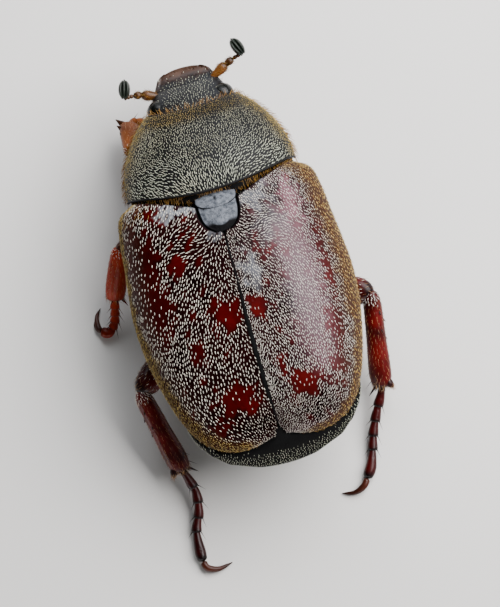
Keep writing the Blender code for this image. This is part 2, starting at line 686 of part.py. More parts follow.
def claw(name, leg, pair):
    """One long claw, and on a front or middle foot a short one beside it."""
    points = np.array([leg["tarsus"][-1], *leg["claw"]], float)
    radius = CLAW_RADIUS[pair]

    def hook(shrink, turn, thick):
        root = points[0]
        bent = points - root
        c, s = math.cos(turn), math.sin(turn)
        bent = np.stack([bent[:, 0] * c - bent[:, 1] * s, bent[:, 0] * s + bent[:, 1] * c, bent[:, 2]], axis=1)
        line = root + bent * (shrink, shrink, 1)
        path = [spline(line, t) for t in np.linspace(0.0, 1.0, 8)]
        sizes = [thick * (1.0 - 0.78 * t**1.6) for t in np.linspace(0.0, 1.0, 8)]
        rings = np.array(tube_rings(path, sizes, sizes, 8))
        rings[:, :, 2] = np.maximum(rings[:, :, 2], FLOOR)
        return loft(f"{name}_claw", list(rings))

    long_claw = hook(1.0, 0.0, radius)
    if pair == "hind":
        return long_claw
    return combine(long_claw, "UNION", [hook(SHORT_CLAW, 0.5, radius * 0.75)])


def paint(obj, slot):
    material = bpy.data.materials.get(slot)
    if material is None:
        colour, roughness = COLOURS[slot]
        material = bpy.data.materials.new(slot)
        material.use_nodes = True
        shader = material.node_tree.nodes["Principled BSDF"]
        shader.inputs["Base Color"].default_value = colour
        shader.inputs["Roughness"].default_value = roughness
        shader.inputs["Metallic"].default_value = 0.0
    obj.data.materials.clear()
    obj.data.materials.append(material)
    obj.data.shade_smooth()
    obj.data.set_sharp_from_angle(angle=math.radians(40))
    return obj


def stand_on_origin(nodes):
    """Moves the whole animal so that the middle of its box is over the origin."""
    places = np.array([v.co for obj in nodes for v in obj.data.vertices], float)
    middle = (places.min(axis=0) + places.max(axis=0)) / 2
    whole = bpy.data.objects.new("chafer", None)
    bpy.context.scene.collection.objects.link(whole)
    whole.location = (-middle[0], -middle[1], 0)
    for obj in nodes:
        obj.parent = whole


def build():
    clear_scene()
    nodes = []

    def keep(obj, slot):
        nodes.append(paint(obj, slot))
        return obj

    cases = [keep(wing_case("wing_case_left", 1), "wing_case"),
             keep(wing_case("wing_case_right", -1), "wing_case")]
    keep(scutellum("scutellum"), "grey_plate")

    femora = {}
    for name, leg in LEGS.items():
        pair = name.split("_")[0]
        slot = "front_leg" if name == "front_left" else "leg"
        femora[name] = keep(femur(name, leg, pair), slot)
        keep(tibia(name, leg, pair), slot)
        keep(tarsus(name, leg, pair), slot)
        keep(claw(name, leg, pair), "claw")

    def case_rooms():
        return [wing_case("room", side, 0.9, SEAM, SEAM, 24, 11) for side in (1, -1)]

    def femur_rooms(pairs):
        return [swell(femora[f"{pair}_{side}"], SEAM * 1.3) for pair in pairs for side in ("left", "right")]

    chest = combine(thorax(), "UNION", coxae("middle") + coxae("hind"))
    chest = combine(chest, "DIFFERENCE", case_rooms())
    chest = combine(chest, "DIFFERENCE", [scutellum("room", SEAM)])
    chest = combine(chest, "DIFFERENCE", femur_rooms(("middle", "hind")), "MANIFOLD")
    keep(chest, "black_chitin")

    for name, sign in (("abdomen", 1), ("pygidium", -1)):
        point, normal = pygidium_plane(sign * -SEAM / 2)
        piece = combine(loft(name, abdomen_rings()), "DIFFERENCE", [half_space("cut", point, normal * sign)])
        piece = combine(piece, "DIFFERENCE", case_rooms(), "MANIFOLD")
        piece = combine(piece, "DIFFERENCE", femur_rooms(("hind",)), "MANIFOLD")
        keep(piece, "black_chitin")

    skull = combine(head(), "UNION", mandibles())
    eyes = []
    for side, sign in (("left", 1), ("right", -1)):
        place = head_place(sign * EYE[0], EYE[1], EYE[2])
        eyes.append(keep(ball(f"eye_{side}", place, (EYE_RADIUS, EYE_RADIUS * 0.95, EYE_RADIUS)), "eye"))
    stems = [keep(antenna_stem(side), "antenna_stem") for side in ANTENNAE]
    for side in ANTENNAE:
        keep(antenna_club(side), "antenna_club")
    palps = [keep(palp(side, sign), "antenna_stem") for side, sign in PALPS.items()]
    skull = combine(skull, "DIFFERENCE", [swell(obj, SEAM) for obj in eyes + stems + palps])
    keep(skull, "black_chitin")

    front = combine(prothorax(), "UNION", coxae("front"))
    front = combine(front, "DIFFERENCE", [swell(obj, SEAM) for obj in (chest, skull, *eyes)])
    front = combine(front, "DIFFERENCE", femur_rooms(("front",)), "MANIFOLD")
    keep(front, "black_chitin")

    stand_on_origin(nodes)


build()
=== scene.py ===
"""Looks of a Welsh chafer at life size: smooth plates, scales, hair, studio light and camera.

The shapes are written in millimetres in the animal's own axes, with x = 0 on the midline, y = 0 at
the scutellum's tip and z = 0 on the floor, and place() puts them in the frame.
"""

import math

import bpy
import numpy as np
from mathutils import Matrix, Vector


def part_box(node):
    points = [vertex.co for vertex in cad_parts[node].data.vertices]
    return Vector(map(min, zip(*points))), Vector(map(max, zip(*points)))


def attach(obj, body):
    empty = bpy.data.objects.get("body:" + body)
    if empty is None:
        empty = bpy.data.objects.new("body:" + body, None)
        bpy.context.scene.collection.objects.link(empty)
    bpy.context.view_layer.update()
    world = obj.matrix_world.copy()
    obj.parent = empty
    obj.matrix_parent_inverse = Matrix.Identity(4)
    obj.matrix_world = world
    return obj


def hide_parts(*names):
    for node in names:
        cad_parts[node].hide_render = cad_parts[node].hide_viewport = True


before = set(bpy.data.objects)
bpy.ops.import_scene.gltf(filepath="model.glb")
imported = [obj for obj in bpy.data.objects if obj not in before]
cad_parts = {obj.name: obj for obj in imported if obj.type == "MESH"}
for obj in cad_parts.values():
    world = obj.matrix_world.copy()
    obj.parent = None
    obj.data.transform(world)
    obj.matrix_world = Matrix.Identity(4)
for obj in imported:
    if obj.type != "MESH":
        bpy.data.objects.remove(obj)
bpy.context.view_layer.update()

MM = 0.001
PLATE_LOW, PLATE_HIGH = (np.array(corner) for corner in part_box("scutellum"))
ORIGIN = np.array(((PLATE_LOW[0] + PLATE_HIGH[0]) / 2, PLATE_HIGH[1], 0.0))
RANDOM = np.random.default_rng(11)

# Camera: it looks down on the back, a little from behind and from the animal's right
PIXELS_PER_MM = 47.0
IMAGE_SIZE = (500, 607)
TIP_PIXEL = (224.2, 231.8)               # where the scutellum's tip is in the photograph
BODY_TURN = math.radians(15.4)
TILT_BACK = math.radians(8.0)
TILT_SIDE = math.radians(1.5)
TIP_HEIGHT = 3.30
LENS = 700.0
SENSOR = 36.0

# Wing case edges, from the base to the tip; at the suture the skins lie closer than the solids
SUTURE = 0.012
CASE_INNER = (
    (0.49, -0.68, 3.20), (0.475, -0.42, 3.27), (0.38, -0.18, 3.31), (0.20, -0.02, 3.33),
    (0.03, 0.10, 3.34), (SUTURE, 1.20, 3.38), (SUTURE, 2.20, 3.27), (SUTURE, 3.10, 3.03),
    (SUTURE, 3.60, 2.82), (SUTURE, 3.86, 2.68), (0.014, 4.08, 2.54), (0.035, 4.21, 2.45),
)
CASE_OUTER = (
    (1.80, -1.20, 2.32), (2.12, -1.00, 2.14), (2.24, -0.56, 2.00), (2.30, 0.00, 1.92),
    (2.36, 0.50, 1.87), (2.42, 1.30, 1.84), (2.33, 2.25, 1.87), (2.07, 3.30, 1.95),
    (1.72, 4.02, 2.04), (1.25, 4.40, 2.12), (0.70, 4.50, 2.20), (0.14, 4.39, 2.34),
)
CASE_ACROSS, CASE_UP = 2.8, 2.0
CASE_EVEN = 1.4                          # spaces the rows of a wing case evenly as seen from above
SHELL_GRID = (150, 110)
SWELLINGS = ((1.62, -0.72, 0.10, 0.34), (1.30, 3.55, 0.07, 0.38), (0.95, -0.30, -0.05, 0.40))
SHELL_DISC, SHELL_RIM = 0.45, 0.20

# Bare patches of the wing cases: x, y, how far each reaches across and along, and how bare it is
BARE_LEFT = (
    (1.40, -0.74, 0.16, 0.22, 0.9), (1.74, 0.10, 0.26, 0.40, 0.9), (1.18, 0.42, 0.22, 0.16, 1.0),
    (1.86, 0.90, 0.30, 1.10, 0.65), (1.62, 1.20, 0.22, 0.36, 0.7), (0.42, 1.68, 0.30, 0.36, 1.0),
    (0.66, 3.50, 0.42, 0.30, 0.85), (1.25, 2.30, 0.14, 0.24, 0.7), (1.20, 3.98, 0.34, 0.16, 0.9),
    (0.80, -0.30, 0.10, 0.10, 0.6), (1.98, -0.50, 0.16, 0.36, 0.9), (2.14, 0.55, 0.15, 1.50, 0.6),
)
BARE_RIGHT = (
    (0.27, 1.68, 0.17, 0.24, 1.0), (0.92, 0.56, 0.24, 0.10, 1.0), (0.60, 0.52, 0.20, 0.07, 0.9),
    (0.88, 3.50, 0.42, 0.26, 0.85), (1.60, 3.30, 0.20, 0.26, 0.7), (0.40, 3.08, 0.13, 0.16, 0.9),
    (1.92, 1.00, 0.11, 1.10, 0.65), (1.72, 2.50, 0.18, 0.50, 0.6), (1.05, -0.55, 0.10, 0.10, 0.8),
)
# Raggedness of the patches' edges across and along: how far, over what length, and seed
RAGGED_ACROSS = ((0.13, 0.13, 0.0), (0.09, 0.050, 5.0))
RAGGED_ALONG = ((0.18, 0.17, 3.0), (0.12, 0.06, 1.0))
PATCH_FADE = (0.45, 1.40)                # where a patch fades out, in shares of its reach

SUTURE_LINE = (
    (0.002, 0.13, 3.337), (0.004, 1.20, 3.377), (0.022, 2.20, 3.267), (0.022, 3.10, 3.027),
    (0.016, 3.60, 2.817), (0.006, 4.00, 2.585),
)
SUTURE_SIZES = (                         # share of the length, half width and half thickness
    (0, 0.011, 0.010), (0.25, 0.012, 0.012), (0.40, 0.026, 0.013), (0.55, 0.044, 0.014),
    (0.8, 0.042, 0.014), (1, 0.020, 0.010),
)

# The wing cases: side, name, gap between scales, a scale's length and width, and gloss of the shell
SEAM_REACH, SEAM_WIDER = 0.022, 0.050
WING_COATS = ((1, "left", 0.0340, 0.072, 0.0178, 0.05), (-1, "right", 0.0262, 0.061, 0.0150, 0.22))

# Where a silvery reflection of the sky is painted into the shell's colour, and where a rosy sheen is painted
PAINTED_REFLECTION_LEFT = ((0.86, -0.74, 0.46, 0.12, 0.9), (0.20, 0.00, 0.10, 0.16, 0.35))
PAINTED_REFLECTION_RIGHT = (
    (0.82, -0.58, 0.36, 0.24, 0.6), (0.36, 0.92, 0.18, 0.36, 0.55), (1.05, 0.10, 0.34, 0.44, 0.25),
    (1.30, 1.60, 0.36, 1.20, 0.18),
)
PAINTED_SHEEN_RIGHT = (
    (1.50, -0.30, 0.22, 0.60, 0.75), (1.40, 1.00, 0.40, 1.60, 0.30), (1.20, 2.60, 0.40, 0.70, 0.35),
)

PRONOTUM = (
    (-0.96, -1.31, 1.84, 3.20, 2.08, 1.12), (-1.12, -1.47, 1.86, 3.25, 2.04, 1.02),
    (-1.55, -1.86, 1.80, 3.26, 1.96, 0.95), (-2.02, -2.28, 1.63, 3.13, 1.90, 0.96),
    (-2.48, -2.70, 1.36, 2.92, 1.86, 1.08), (-2.78, -2.95, 1.12, 2.71, 1.86, 1.22),
    (-2.88, -3.03, 1.01, 2.60, 1.88, 1.32),
)
PRONOTUM_BELLY_SLANT = (-0.35, 0.30)
PRONOTUM_HOOD = ((0.985, 0.012), (0.955, -0.03), (0.90, -0.14), (0.55, -0.20))    # size, and how far out
PRONOTUM_BEADS = ((0.040, 0.014, 0.022), (0.016, 0.994, 0.010))     # height, share of the length, and spread
PRONOTUM_MIDDLE = (0, -2.0, 1.9)

HEAD_TILT = math.radians(40)
HEAD_ROOT = (0.0, -2.80, 2.45)
HEAD = (
    (-0.32, 0.46, -0.14, -0.78), (0.00, 0.66, -0.03, -0.92), (0.30, 0.76, 0.02, -0.96),
    (0.58, 0.84, 0.03, -0.90), (0.80, 0.85, 0.01, -0.76), (1.00, 0.77, -0.02, -0.58),
    (1.18, 0.67, -0.01, -0.40), (1.30, 0.60, 0.03, -0.28), (1.36, 0.54, 0.03, -0.18),
)
EYE = (0.71, 0.64, -0.28)
EYE_RADIUS = 0.25

SCUTELLUM = (0.43, -0.68, 0.00, 3.30, 0.50)
COLLAR_HALF, COLLAR_MIDDLE, COLLAR_REACH, COLLAR_BULGE = 0.46, -0.84, 0.20, 0.09
# The dark skin under the gap between the pronotum and the wing cases, on the left side
HINGE = (
    (0.0, -1.00, 2.98), (0.60, -1.02, 2.94), (1.20, -1.12, 2.66), (1.62, -1.24, 2.28), (1.70, -1.26, 1.90),
)
HINGE_SIZES = ((0, 0.16, 0.10), (0.5, 0.20, 0.12), (1, 0.16, 0.10))       # share, half width, half thickness

# Antennae from the socket to the club's root, and the club's tip
ANTENNAE = {
    "left": ((0.55, -3.42, 1.66), (0.99, -3.58, 1.70), (1.15, -3.60, 1.72), (1.31, -3.60, 1.72),
             (1.35, -3.60, 1.73), (1.24, -4.00, 1.74)),
    "right": ((-0.55, -3.52, 1.64), (-0.97, -3.74, 1.70), (-1.13, -3.80, 1.74), (-1.30, -3.84, 1.78),
              (-1.36, -3.83, 1.79), (-1.19, -4.22, 1.86)),
}
SCAPE_SIZES = ((0, 0.06), (0.30, 0.085), (0.75, 0.115), (1, 0.065))
SECOND_SIZES = ((0, 0.05), (0.5, 0.088), (1, 0.05))
THIN_SIZES = ((0, 0.036), (0.7, 0.050), (1, 0.040))
CLUB_HEIGHT = 0.32
LEAF_STEP, LEAF_HALF = 0.080, 0.046
PALP = ((0.30, 0.98, -0.66), (0.38, 1.10, -0.84), (0.40, 1.28, -0.92), (0.37, 1.46, -0.90),
        (0.34, 1.58, -0.84))          # in the head's axes
PALP_SIZES = (0.10, 0.08, 0.095, 0.09, 0.045)
MANDIBLE = (0.26, 1.00, -0.62)
MANDIBLE_SIZE = (0.22, 0.20, 0.17)

LEGS = {
    "front_left": {"coxa": (0.52, -1.95, 0.80), "knee": (1.54, -2.50, 1.20), "ankle": (1.41, -3.18, 0.54),
                   "tarsus": ((1.32, -3.26, 0.42), (1.12, -3.22, 0.26), (0.88, -3.20, 0.15),
                              (0.64, -3.32, 0.11)),
                   "claw": ((0.56, -3.42, 0.10), (0.51, -3.54, 0.06), (0.54, -3.66, 0.04))},
    "front_right": {"coxa": (-0.52, -1.95, 0.80), "knee": (-1.10, -2.28, 1.14), "ankle": (-0.94, -2.86, 0.50),
                    "tarsus": ((-0.88, -3.00, 0.38), (-0.74, -3.20, 0.24), (-0.57, -3.38, 0.15),
                               (-0.40, -3.54, 0.10)),
                    "claw": ((-0.34, -3.63, 0.10), (-0.32, -3.73, 0.06), (-0.37, -3.82, 0.04))},
    "middle_left": {"coxa": (0.62, -0.30, 0.62), "knee": (2.33, -0.54, 1.44), "ankle": (2.72, 0.38, 0.60),
                    "tarsus": ((2.78, 0.54, 0.46), (2.86, 0.78, 0.27), (3.03, 0.98, 0.14),
                               (3.21, 0.90, 0.11)),
                    "claw": ((3.25, 0.78, 0.10), (3.22, 0.56, 0.06), (3.10, 0.40, 0.04))},
    "middle_right": {"coxa": (-0.62, -0.30, 0.62), "knee": (-1.92, -0.34, 1.36), "ankle": (-1.98, 0.60, 0.54),
                     "tarsus": ((-1.98, 0.74, 0.44), (-1.95, 1.02, 0.26), (-1.88, 1.36, 0.14),
                                (-1.78, 1.64, 0.11)),
                     "claw": ((-1.71, 1.74, 0.10), (-1.59, 1.80, 0.06), (-1.46, 1.77, 0.04))},
    "hind_left": {"coxa": (0.74, 1.12, 0.56), "knee": (2.70, 2.54, 1.32), "ankle": (2.29, 4.36, 0.50),
                  "tarsus": ((2.23, 4.52, 0.42), (2.15, 4.84, 0.30), (2.20, 5.24, 0.20), (2.36, 5.62, 0.13),
                             (2.40, 6.06, 0.11), (2.40, 6.30, 0.11)),
                  "claw": ((2.34, 6.46, 0.11), (2.12, 6.54, 0.07), (1.80, 6.48, 0.04))},
    "hind_right": {"coxa": (-0.74, 1.12, 0.56), "knee": (-2.64, 1.80, 1.34), "ankle": (-2.30, 3.77, 0.50),
                   "tarsus": ((-2.22, 3.93, 0.42), (-2.06, 4.20, 0.31), (-1.87, 4.60, 0.20),
                              (-1.74, 4.98, 0.13), (-1.62, 5.30, 0.11), (-1.47, 5.52, 0.11)),
                   "claw": ((-1.36, 5.66, 0.11), (-1.14, 5.74, 0.07), (-0.86, 5.68, 0.04))},
}
# Shares of the length, half widths and half thicknesses
FEMUR = {
    "front": ((0.0, 0.16, 0.15), (0.25, 0.27, 0.22), (0.65, 0.29, 0.23), (1.0, 0.21, 0.18)),
    "middle": ((0.0, 0.16, 0.15), (0.25, 0.27, 0.21), (0.65, 0.29, 0.22), (1.0, 0.20, 0.18)),
    "hind": ((0.0, 0.18, 0.16), (0.25, 0.31, 0.22), (0.65, 0.36, 0.25), (1.0, 0.24, 0.20)),
}
TIBIA = {
    "front": ((0.0, 0.15, 0.14), (0.3, 0.19, 0.15), (0.75, 0.25, 0.15), (1.0, 0.22, 0.13)),
    "middle": ((0.0, 0.14, 0.14), (0.35, 0.20, 0.17), (0.8, 0.23, 0.18), (1.0, 0.19, 0.15)),
    "hind": ((0.0, 0.16, 0.15), (0.15, 0.20, 0.18), (0.5, 0.22, 0.19), (0.85, 0.25, 0.20), (1.0, 0.19, 0.16)),
}
TEETH = ((0.94, 0.24), (0.74, 0.21), (0.54, 0.13))    # of a front tibia: share of its length, own length
TOOTH_RADIUS = 0.085
# Of a middle or hind tibia: the outer spines, the spurs round its end and the two long ones by their turn
# from the outer side, and the inner bristles. Sizes are length and radius.
TIBIA_REACH = {"middle": 0.13, "hind": 0.18}
OUTER_SPINES, OUTER_FAN, OUTER_SIZE = 8, 0.4, (0.10, 0.026)
SPUR_TURNS, SPUR_SIZE = (-2.4, -1.5, -0.8, 0.8, 1.5, 2.4), (0.14, 0.026)
LONG_SPURS, LONG_SPUR_RADIUS = ((math.pi - 0.3, 0.30), (math.pi + 0.5, 0.24)), 0.036
BRISTLES, BRISTLE_FAN, BRISTLE_RADIUS = 7, 0.5, 0.009
KNOB_BACK, KNOB_OUT = 0.26, {"middle": 0.04, "hind": 0.07}
KNOB_LENGTH = {"middle": 0.22, "hind": 0.32}
KNOB = ((0.0, 0.10), (0.6, 0.088), (1.0, 0.060))
TARSOMERES = (0.0, 0.20, 0.37, 0.53, 0.68, 1.0)
TARSUS_RADIUS = {"front": 0.10, "middle": 0.115, "hind": 0.125}
CLAW_RADIUS = {"front": 0.065, "middle": 0.07, "hind": 0.085}
SHORT_CLAW, SHORT_CLAW_TURN, SHORT_CLAW_THICKNESS = 0.55, 0.5, 0.75
CLAW_SIZES = ((0, 0.90), (0.35, 0.85), (0.8, 0.45), (1, 0.10))
# Share of a tarsus joint's length, and size in tarsus radii, of the last joint and of the others
LAST_JOINT = ((0, 0.52), (0.25, 0.72), (0.7, 0.98), (1, 0.80))
OTHER_JOINTS = ((0, 0.56), (0.25, 0.68), (0.80, 0.90), (1, 0.88))
# Thorns at the end of a tarsus joint: side, length and radius
TARSUS_THORNS = ((-1, 0.11, 0.016), (1, 0.11, 0.016), (-1, 0.24, 0.008), (1, 0.20, 0.008))

FINENESS = {                            # rings and sides of each kind of tube
    "head": (110, 132), "palp": (16, 16), "stem": (22, 20), "leaf": (30, 24), "suture": (90, 20),
    "hinge": (80, 24), "femur": (44, 32), "tibia": (50, 32), "knob": (18, 16), "spine": (10, 10),
    "tarsus": (24, 22), "claw": (30, 18),
}

# Scales and hairs: gap between roots, length and width
WING_HAIR = (0.056, 0.105, 0.0095)
PRONOTUM_SCALES, PRONOTUM_HAIR = (0.0300, 0.067, 0.0130), (0.034, 0.175, 0.0135)
UNDER_EDGE_HAIR = (0.027, 0.20, 0.013)
HEAD_SCALES, HEAD_HAIR = (0.035, 0.047, 0.0095), (0.045, 0.12, 0.011)
ANTENNA_HAIR = (0.040, 0.075, 0.008)
BODY_SCALES = {
    "thorax": (0.056, 0.072, 0.013), "abdomen": (0.056, 0.072, 0.013), "pygidium": (0.038, 0.042, 0.0085),
}
LEG_SCALES = {"thigh": (0.062, 0.066, 0.0135), "shin": (0.042, 0.066, 0.0135)}
LEG_HAIRS = (                           # part, gap, length, width, lift, and the share where they begin
    ("thigh", 0.080, 0.11, 0.008, 0.35, 0.3), ("shin", 0.070, 0.085, 0.008, 0.30, 0.1),
    ("shin", 0.048, 0.15, 0.011, 0.35, 0.94), ("knob", 0.034, 0.11, 0.010, 0.30, 0.75),
)

# Colours: each pair is the darkest and the brightest
SHELL_DARK = ((0.0018, 0.0006, 0.0006), (0.0080, 0.0008, 0.0008))
SHELL_RED = ((0.0190, 0.0004, 0.0004), (0.0700, 0.0010, 0.0008))
SHELL_GLOSS_TINT = (1.0, 0.64, 0.72)
# Colour layers of the wing cases: bare patches, a painted rosy sheen, a painted silvery sky reflection, the
# brown margin and the black seam
SHELL_LAYERS = (
    ("bare", (SHELL_RED, 0.30, 0.72)), ("blush", (0.120, 0.052, 0.066)), ("bloom", (0.165, 0.178, 0.195)),
    ("margin", (0.0240, 0.0075, 0.0010)), ("seam", (0.0010, 0.0016, 0.0016)),
)
HEAD_BLACK = ((0.0030, 0.0034, 0.0044), (0.0110, 0.0125, 0.0155))
CLYPEUS_BROWN = ((0.0260, 0.0110, 0.0065), (0.0850, 0.0440, 0.0290))
# Blue-grey of the scutellum and collar: partly their own colour, partly a painted reflection of the sky
PLATE_GREY_AND_SKY_SHEEN = ((0.030, 0.035, 0.043), (0.170, 0.185, 0.212))
PLATE_RIM = (0.003, 0.003, 0.0035)
EYE_COLOURS = ((0.0034, 0.0046, 0.0034), (0.0007, 0.0010, 0.0008))
FLOOR_COLOURS = ((0.66, 0.65, 0.63), (0.70, 0.69, 0.67))
BLACKS = {                              # colour, pits to a millimetre, least and most roughness, gloss
    "black_shell": ((0.0028, 0.0029, 0.0032), 14.0, (0.40, 0.60), 0.13),
    "dull_black_skin": ((0.0020, 0.0021, 0.0022), 16.0, (0.6, 0.8), 0.05),
    "antenna_club_shell": ((0.0060, 0.0085, 0.0060), 30.0, (0.22, 0.40), 0.30),
}
BROWNS = {                              # darkest and brightest colour, share that scatters inside, gloss
    "leg_shell": ((0.022, 0.0006, 0.0006), (0.088, 0.0013, 0.0012), 0.0, 0.20),
    "front_leg_shell": ((0.090, 0.0200, 0.0028), (0.250, 0.0660, 0.0120), 0.08, 0.12),
    "middle_leg_shell": ((0.110, 0.0060, 0.0005), (0.330, 0.0230, 0.0014), 0.15, 0.12),
    "claw_shell": ((0.013, 0.0026, 0.0012), (0.056, 0.0100, 0.0032), 0.0, 0.24),
    "antenna_stem_shell": ((0.045, 0.0160, 0.0036), (0.150, 0.0560, 0.0110), 0.2, 0.24),
}
SCALE_COLOURS = {                       # pale and warm
    "wing_scales": ((0.70, 0.66, 0.59), (0.380, 0.275, 0.078)),
    "body_scales": ((0.50, 0.525, 0.415), (0.30, 0.205, 0.040)),
}
HAIR_COLOURS = {
    "gold_hair": ((0.090, 0.034, 0.0040), (0.42, 0.22, 0.034)),
    "leg_hair": ((0.13, 0.045, 0.013), (0.46, 0.26, 0.10)),
}

FLOOR_HALF = 400
LIGHTS = (                              # name, place, width, height, power and colour
    ("sky_right", (-29, -9, 34), 56, 34, 0.075, (1.0, 0.98, 0.98)),
    ("sky_front", (-8, -38, 32), 30, 20, 0.016, (0.93, 0.96, 1.0)),
    ("fill_left", (40, 30, 4), 20, 8, 0.006, (1.0, 0.97, 0.93)),
    ("back_low", (6, 50, 10), 36, 14, 0.010, (1.0, 0.97, 0.94)),
)
SKY_COLOUR, SKY_STRENGTH = (0.88, 0.93, 1.0), 0.10


# Numbers


def spline(points, t):
    """Catmull-Rom through the points, for an array of t from 0 to 1."""
    points = np.asarray(points, float)
    ends = np.vstack([2 * points[0] - points[1], points, 2 * points[-1] - points[-2]])
    at = np.clip(t, 0.0, 1.0) * (len(points) - 1)
    k = np.minimum(at.astype(int), len(points) - 2)
    f = (at - k)[..., None]
    a, b, c, d = (ends[k + i] for i in range(4))
    return 0.5 * (2 * b + (c - a) * f + (2 * a - 5 * b + 4 * c - d) * f**2 + (3 * b - a - 3 * c + d) * f**3)


def along(table, share):
    """The columns after the first of a table, smoothly at each share."""
    table = np.asarray(table, float)
    t = np.interp(share, table[:, 0], np.linspace(0, 1, len(table)))
    return spline(table[:, 1:], t)


def unit(vectors):
    vectors = np.asarray(vectors, float)
    return vectors / np.maximum(np.linalg.norm(vectors, axis=-1, keepdims=True), 1e-12)


def dots(first, second):
    return np.einsum("...i,...i->...", first, second)


def smoothstep(low, high, x):
    t = np.clip((x - low) / (high - low), 0, 1)
    return t * t * (3 - 2 * t)


def bell(x, centre, spread):
    return np.exp(-(((x - centre) / spread) ** 2))


def ripple(x, y, scale, seed=0.0):
    """A smooth made-up unevenness between about -1 and 1."""
    a, b = x / scale + seed, y / scale - seed
    return (np.sin(1.7 * a + 1.1 * np.sin(1.3 * b)) + np.sin(2.3 * b + 1.4 * np.sin(0.9 * a + 2.0))
            + np.sin(1.9 * a - 2.1 * b)) / 3


def signed_power(x, power):
    return np.sign(x) * np.abs(x) ** power


def place(points):
    return np.asarray(points, float) * MM + ORIGIN


# Meshes


def grid(first, second):
    return np.meshgrid(first, second, indexing="ij")


def grid_faces(rows, columns, wrap=False, first=0, flip=False):
    """Quads of a grid of rows by columns points, numbered row by row."""
    i, j = grid(np.arange(rows - 1), np.arange(columns if wrap else columns - 1))
    k = (j + 1) % columns
    quads = np.stack([i * columns + j, i * columns + k, (i + 1) * columns + k, (i + 1) * columns + j], -1)
    quads = quads.reshape(-1, 4) + first
    return quads[:, ::-1] if flip else quads


def grid_shares(rows, columns):
    return grid(np.linspace(0, 1, rows), np.linspace(0, 1, columns))


def outward(points, faces):
    """The faces, turned round if together they face inwards."""
    corners = [points[[face[k] for face in faces]] for k in range(3)]
    last = points[[face[-1] for face in faces]]
    volume = dots(corners[0], np.cross(corners[1], corners[2]) + np.cross(corners[2], last)).sum()
    return faces if volume > 0 else [face[::-1] for face in faces]


def closed_tube(rings):
    """Vertices and faces of a tube through rings of equally many points, with a fan at each end."""
    rings = np.asarray(rings, float)
    rows, columns = rings.shape[:2]
    middle = [rings[0].mean(axis=0), rings[-1].mean(axis=0)]
    points = np.vstack([rings.reshape(-1, 3), middle])
    faces = grid_faces(rows, columns, wrap=True).tolist()
    first, base = rows * columns, (rows - 1) * columns
    for j in range(columns):
        k = (j + 1) % columns
        faces.append([k, j, first])
        faces.append([base + j, base + k, first + 1])
    return points, outward(points, faces)


def linked(name, data):
    """A new object in the scene."""
    obj = bpy.data.objects.new(name, data)
    bpy.context.scene.collection.objects.link(obj)
    return obj


def add_piece(name, parts, material, nodes=(), **numbers):
    """One object from lists of vertices and faces. A number is an array for each part."""
    vertices, faces, first = [], [], 0
    for points, part_faces in parts:
        vertices.append(points)
        faces += [[i + first for i in face] for face in part_faces]
        first += len(points)
    mesh = bpy.data.meshes.new(name)
    mesh.from_pydata(place(np.vstack(vertices)).tolist(), [], faces)
    mesh.validate()
    mesh.update()
    mesh.shade_smooth()
    mesh.materials.append(material)
    for key, values in numbers.items():
        set_numbers(mesh, key, np.concatenate(values))
    obj = linked(name, mesh)
    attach(obj, "root")
    if nodes:
        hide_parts(*nodes)
    return obj


def dress(node, suffix, parts, material, **numbers):
    """The looks of one of the solids."""
    return add_piece(f"{node}_{suffix}", parts, material, (node,), **numbers)


def set_numbers(mesh, name, values):
    layer = mesh.attributes.new(name, "FLOAT", "POINT")
    layer.data.foreach_set("value", np.asarray(values, np.float32).ravel())


def evenly(value, parts):
    """The same number for each vertex of the parts."""
    return [np.full(len(points), value) for points, faces in parts]


def ball(centre, radii, rings=24, sides=32):
    """A rounded lump with its poles along z."""
    polar = np.linspace(0.03, math.pi - 0.03, rings)
    turn = np.linspace(0, 2 * math.pi, sides, endpoint=False)
    p, t = grid(polar, turn)
    points = np.stack([np.sin(p) * np.cos(t), np.sin(p) * np.sin(t), np.cos(p)], -1) * radii
    return closed_tube(points + np.asarray(centre))


def limb(centre, table, flat=(0, 0, 1), start_round=0.0, end_round=0.05):
    """A surface of (u, v) round the line centre(u), with half widths and half thicknesses from a table.

    Its ends close in a curve over the shares start_round and end_round."""
    def function(u, v):
        u, v = np.broadcast_arrays(np.asarray(u, float), np.asarray(v, float))
        tangent = unit(centre(np.minimum(u + 0.02, 1)) - centre(np.maximum(u - 0.02, 0)))
        across = unit(np.cross(tangent, np.asarray(flat, float)))
        up = np.cross(across, tangent)
        sizes = along(table, u)
        size = np.ones_like(u)
        if start_round:
            size = size * np.sqrt(np.clip(1 - (1 - np.minimum(u / start_round, 1)) ** 2, 0.0004, 1))
        if end_round:
            size = size * np.sqrt(np.clip(1 - (1 - np.minimum((1 - u) / end_round, 1)) ** 2, 0.0004, 1))
        turn = 2 * math.pi * v
        return (centre(u) + across * (sizes[..., 0] * size * np.cos(turn))[..., None]
                + up * (sizes[..., -1] * size * np.sin(turn))[..., None])
    return function


def tube_of(function, steps=36, sides=28):
    """The closed tube of a surface of (u, v), with the share u of each of its vertices."""
    share = 0.5 - 0.5 * np.cos(np.linspace(0, math.pi, steps))
    u, v = grid(share, np.arange(sides) / sides)
    part = closed_tube(function(u, v))
    return part, np.concatenate([u.ravel(), [0.0, 1.0]])


def straight(start, end):
    start, end = np.asarray(start, float), np.asarray(end, float)
    return lambda u: start + (end - start) * np.asarray(u, float)[..., None]


def even_path(points):
    """A smooth line through the points, by shares of its own length."""
    t = np.linspace(0, 1, 201)
    fine = spline(points, t)
    run = np.concatenate([[0], np.cumsum(np.linalg.norm(np.diff(fine, axis=0), axis=1))])
    share = run / run[-1]

    def path(u):
        return np.stack([np.interp(u, share, fine[:, i]) for i in range(3)], -1)

    path.length = run[-1]
    return path


def part_of(path, low, high):
    return lambda u: path(low + (high - low) * np.asarray(u, float))


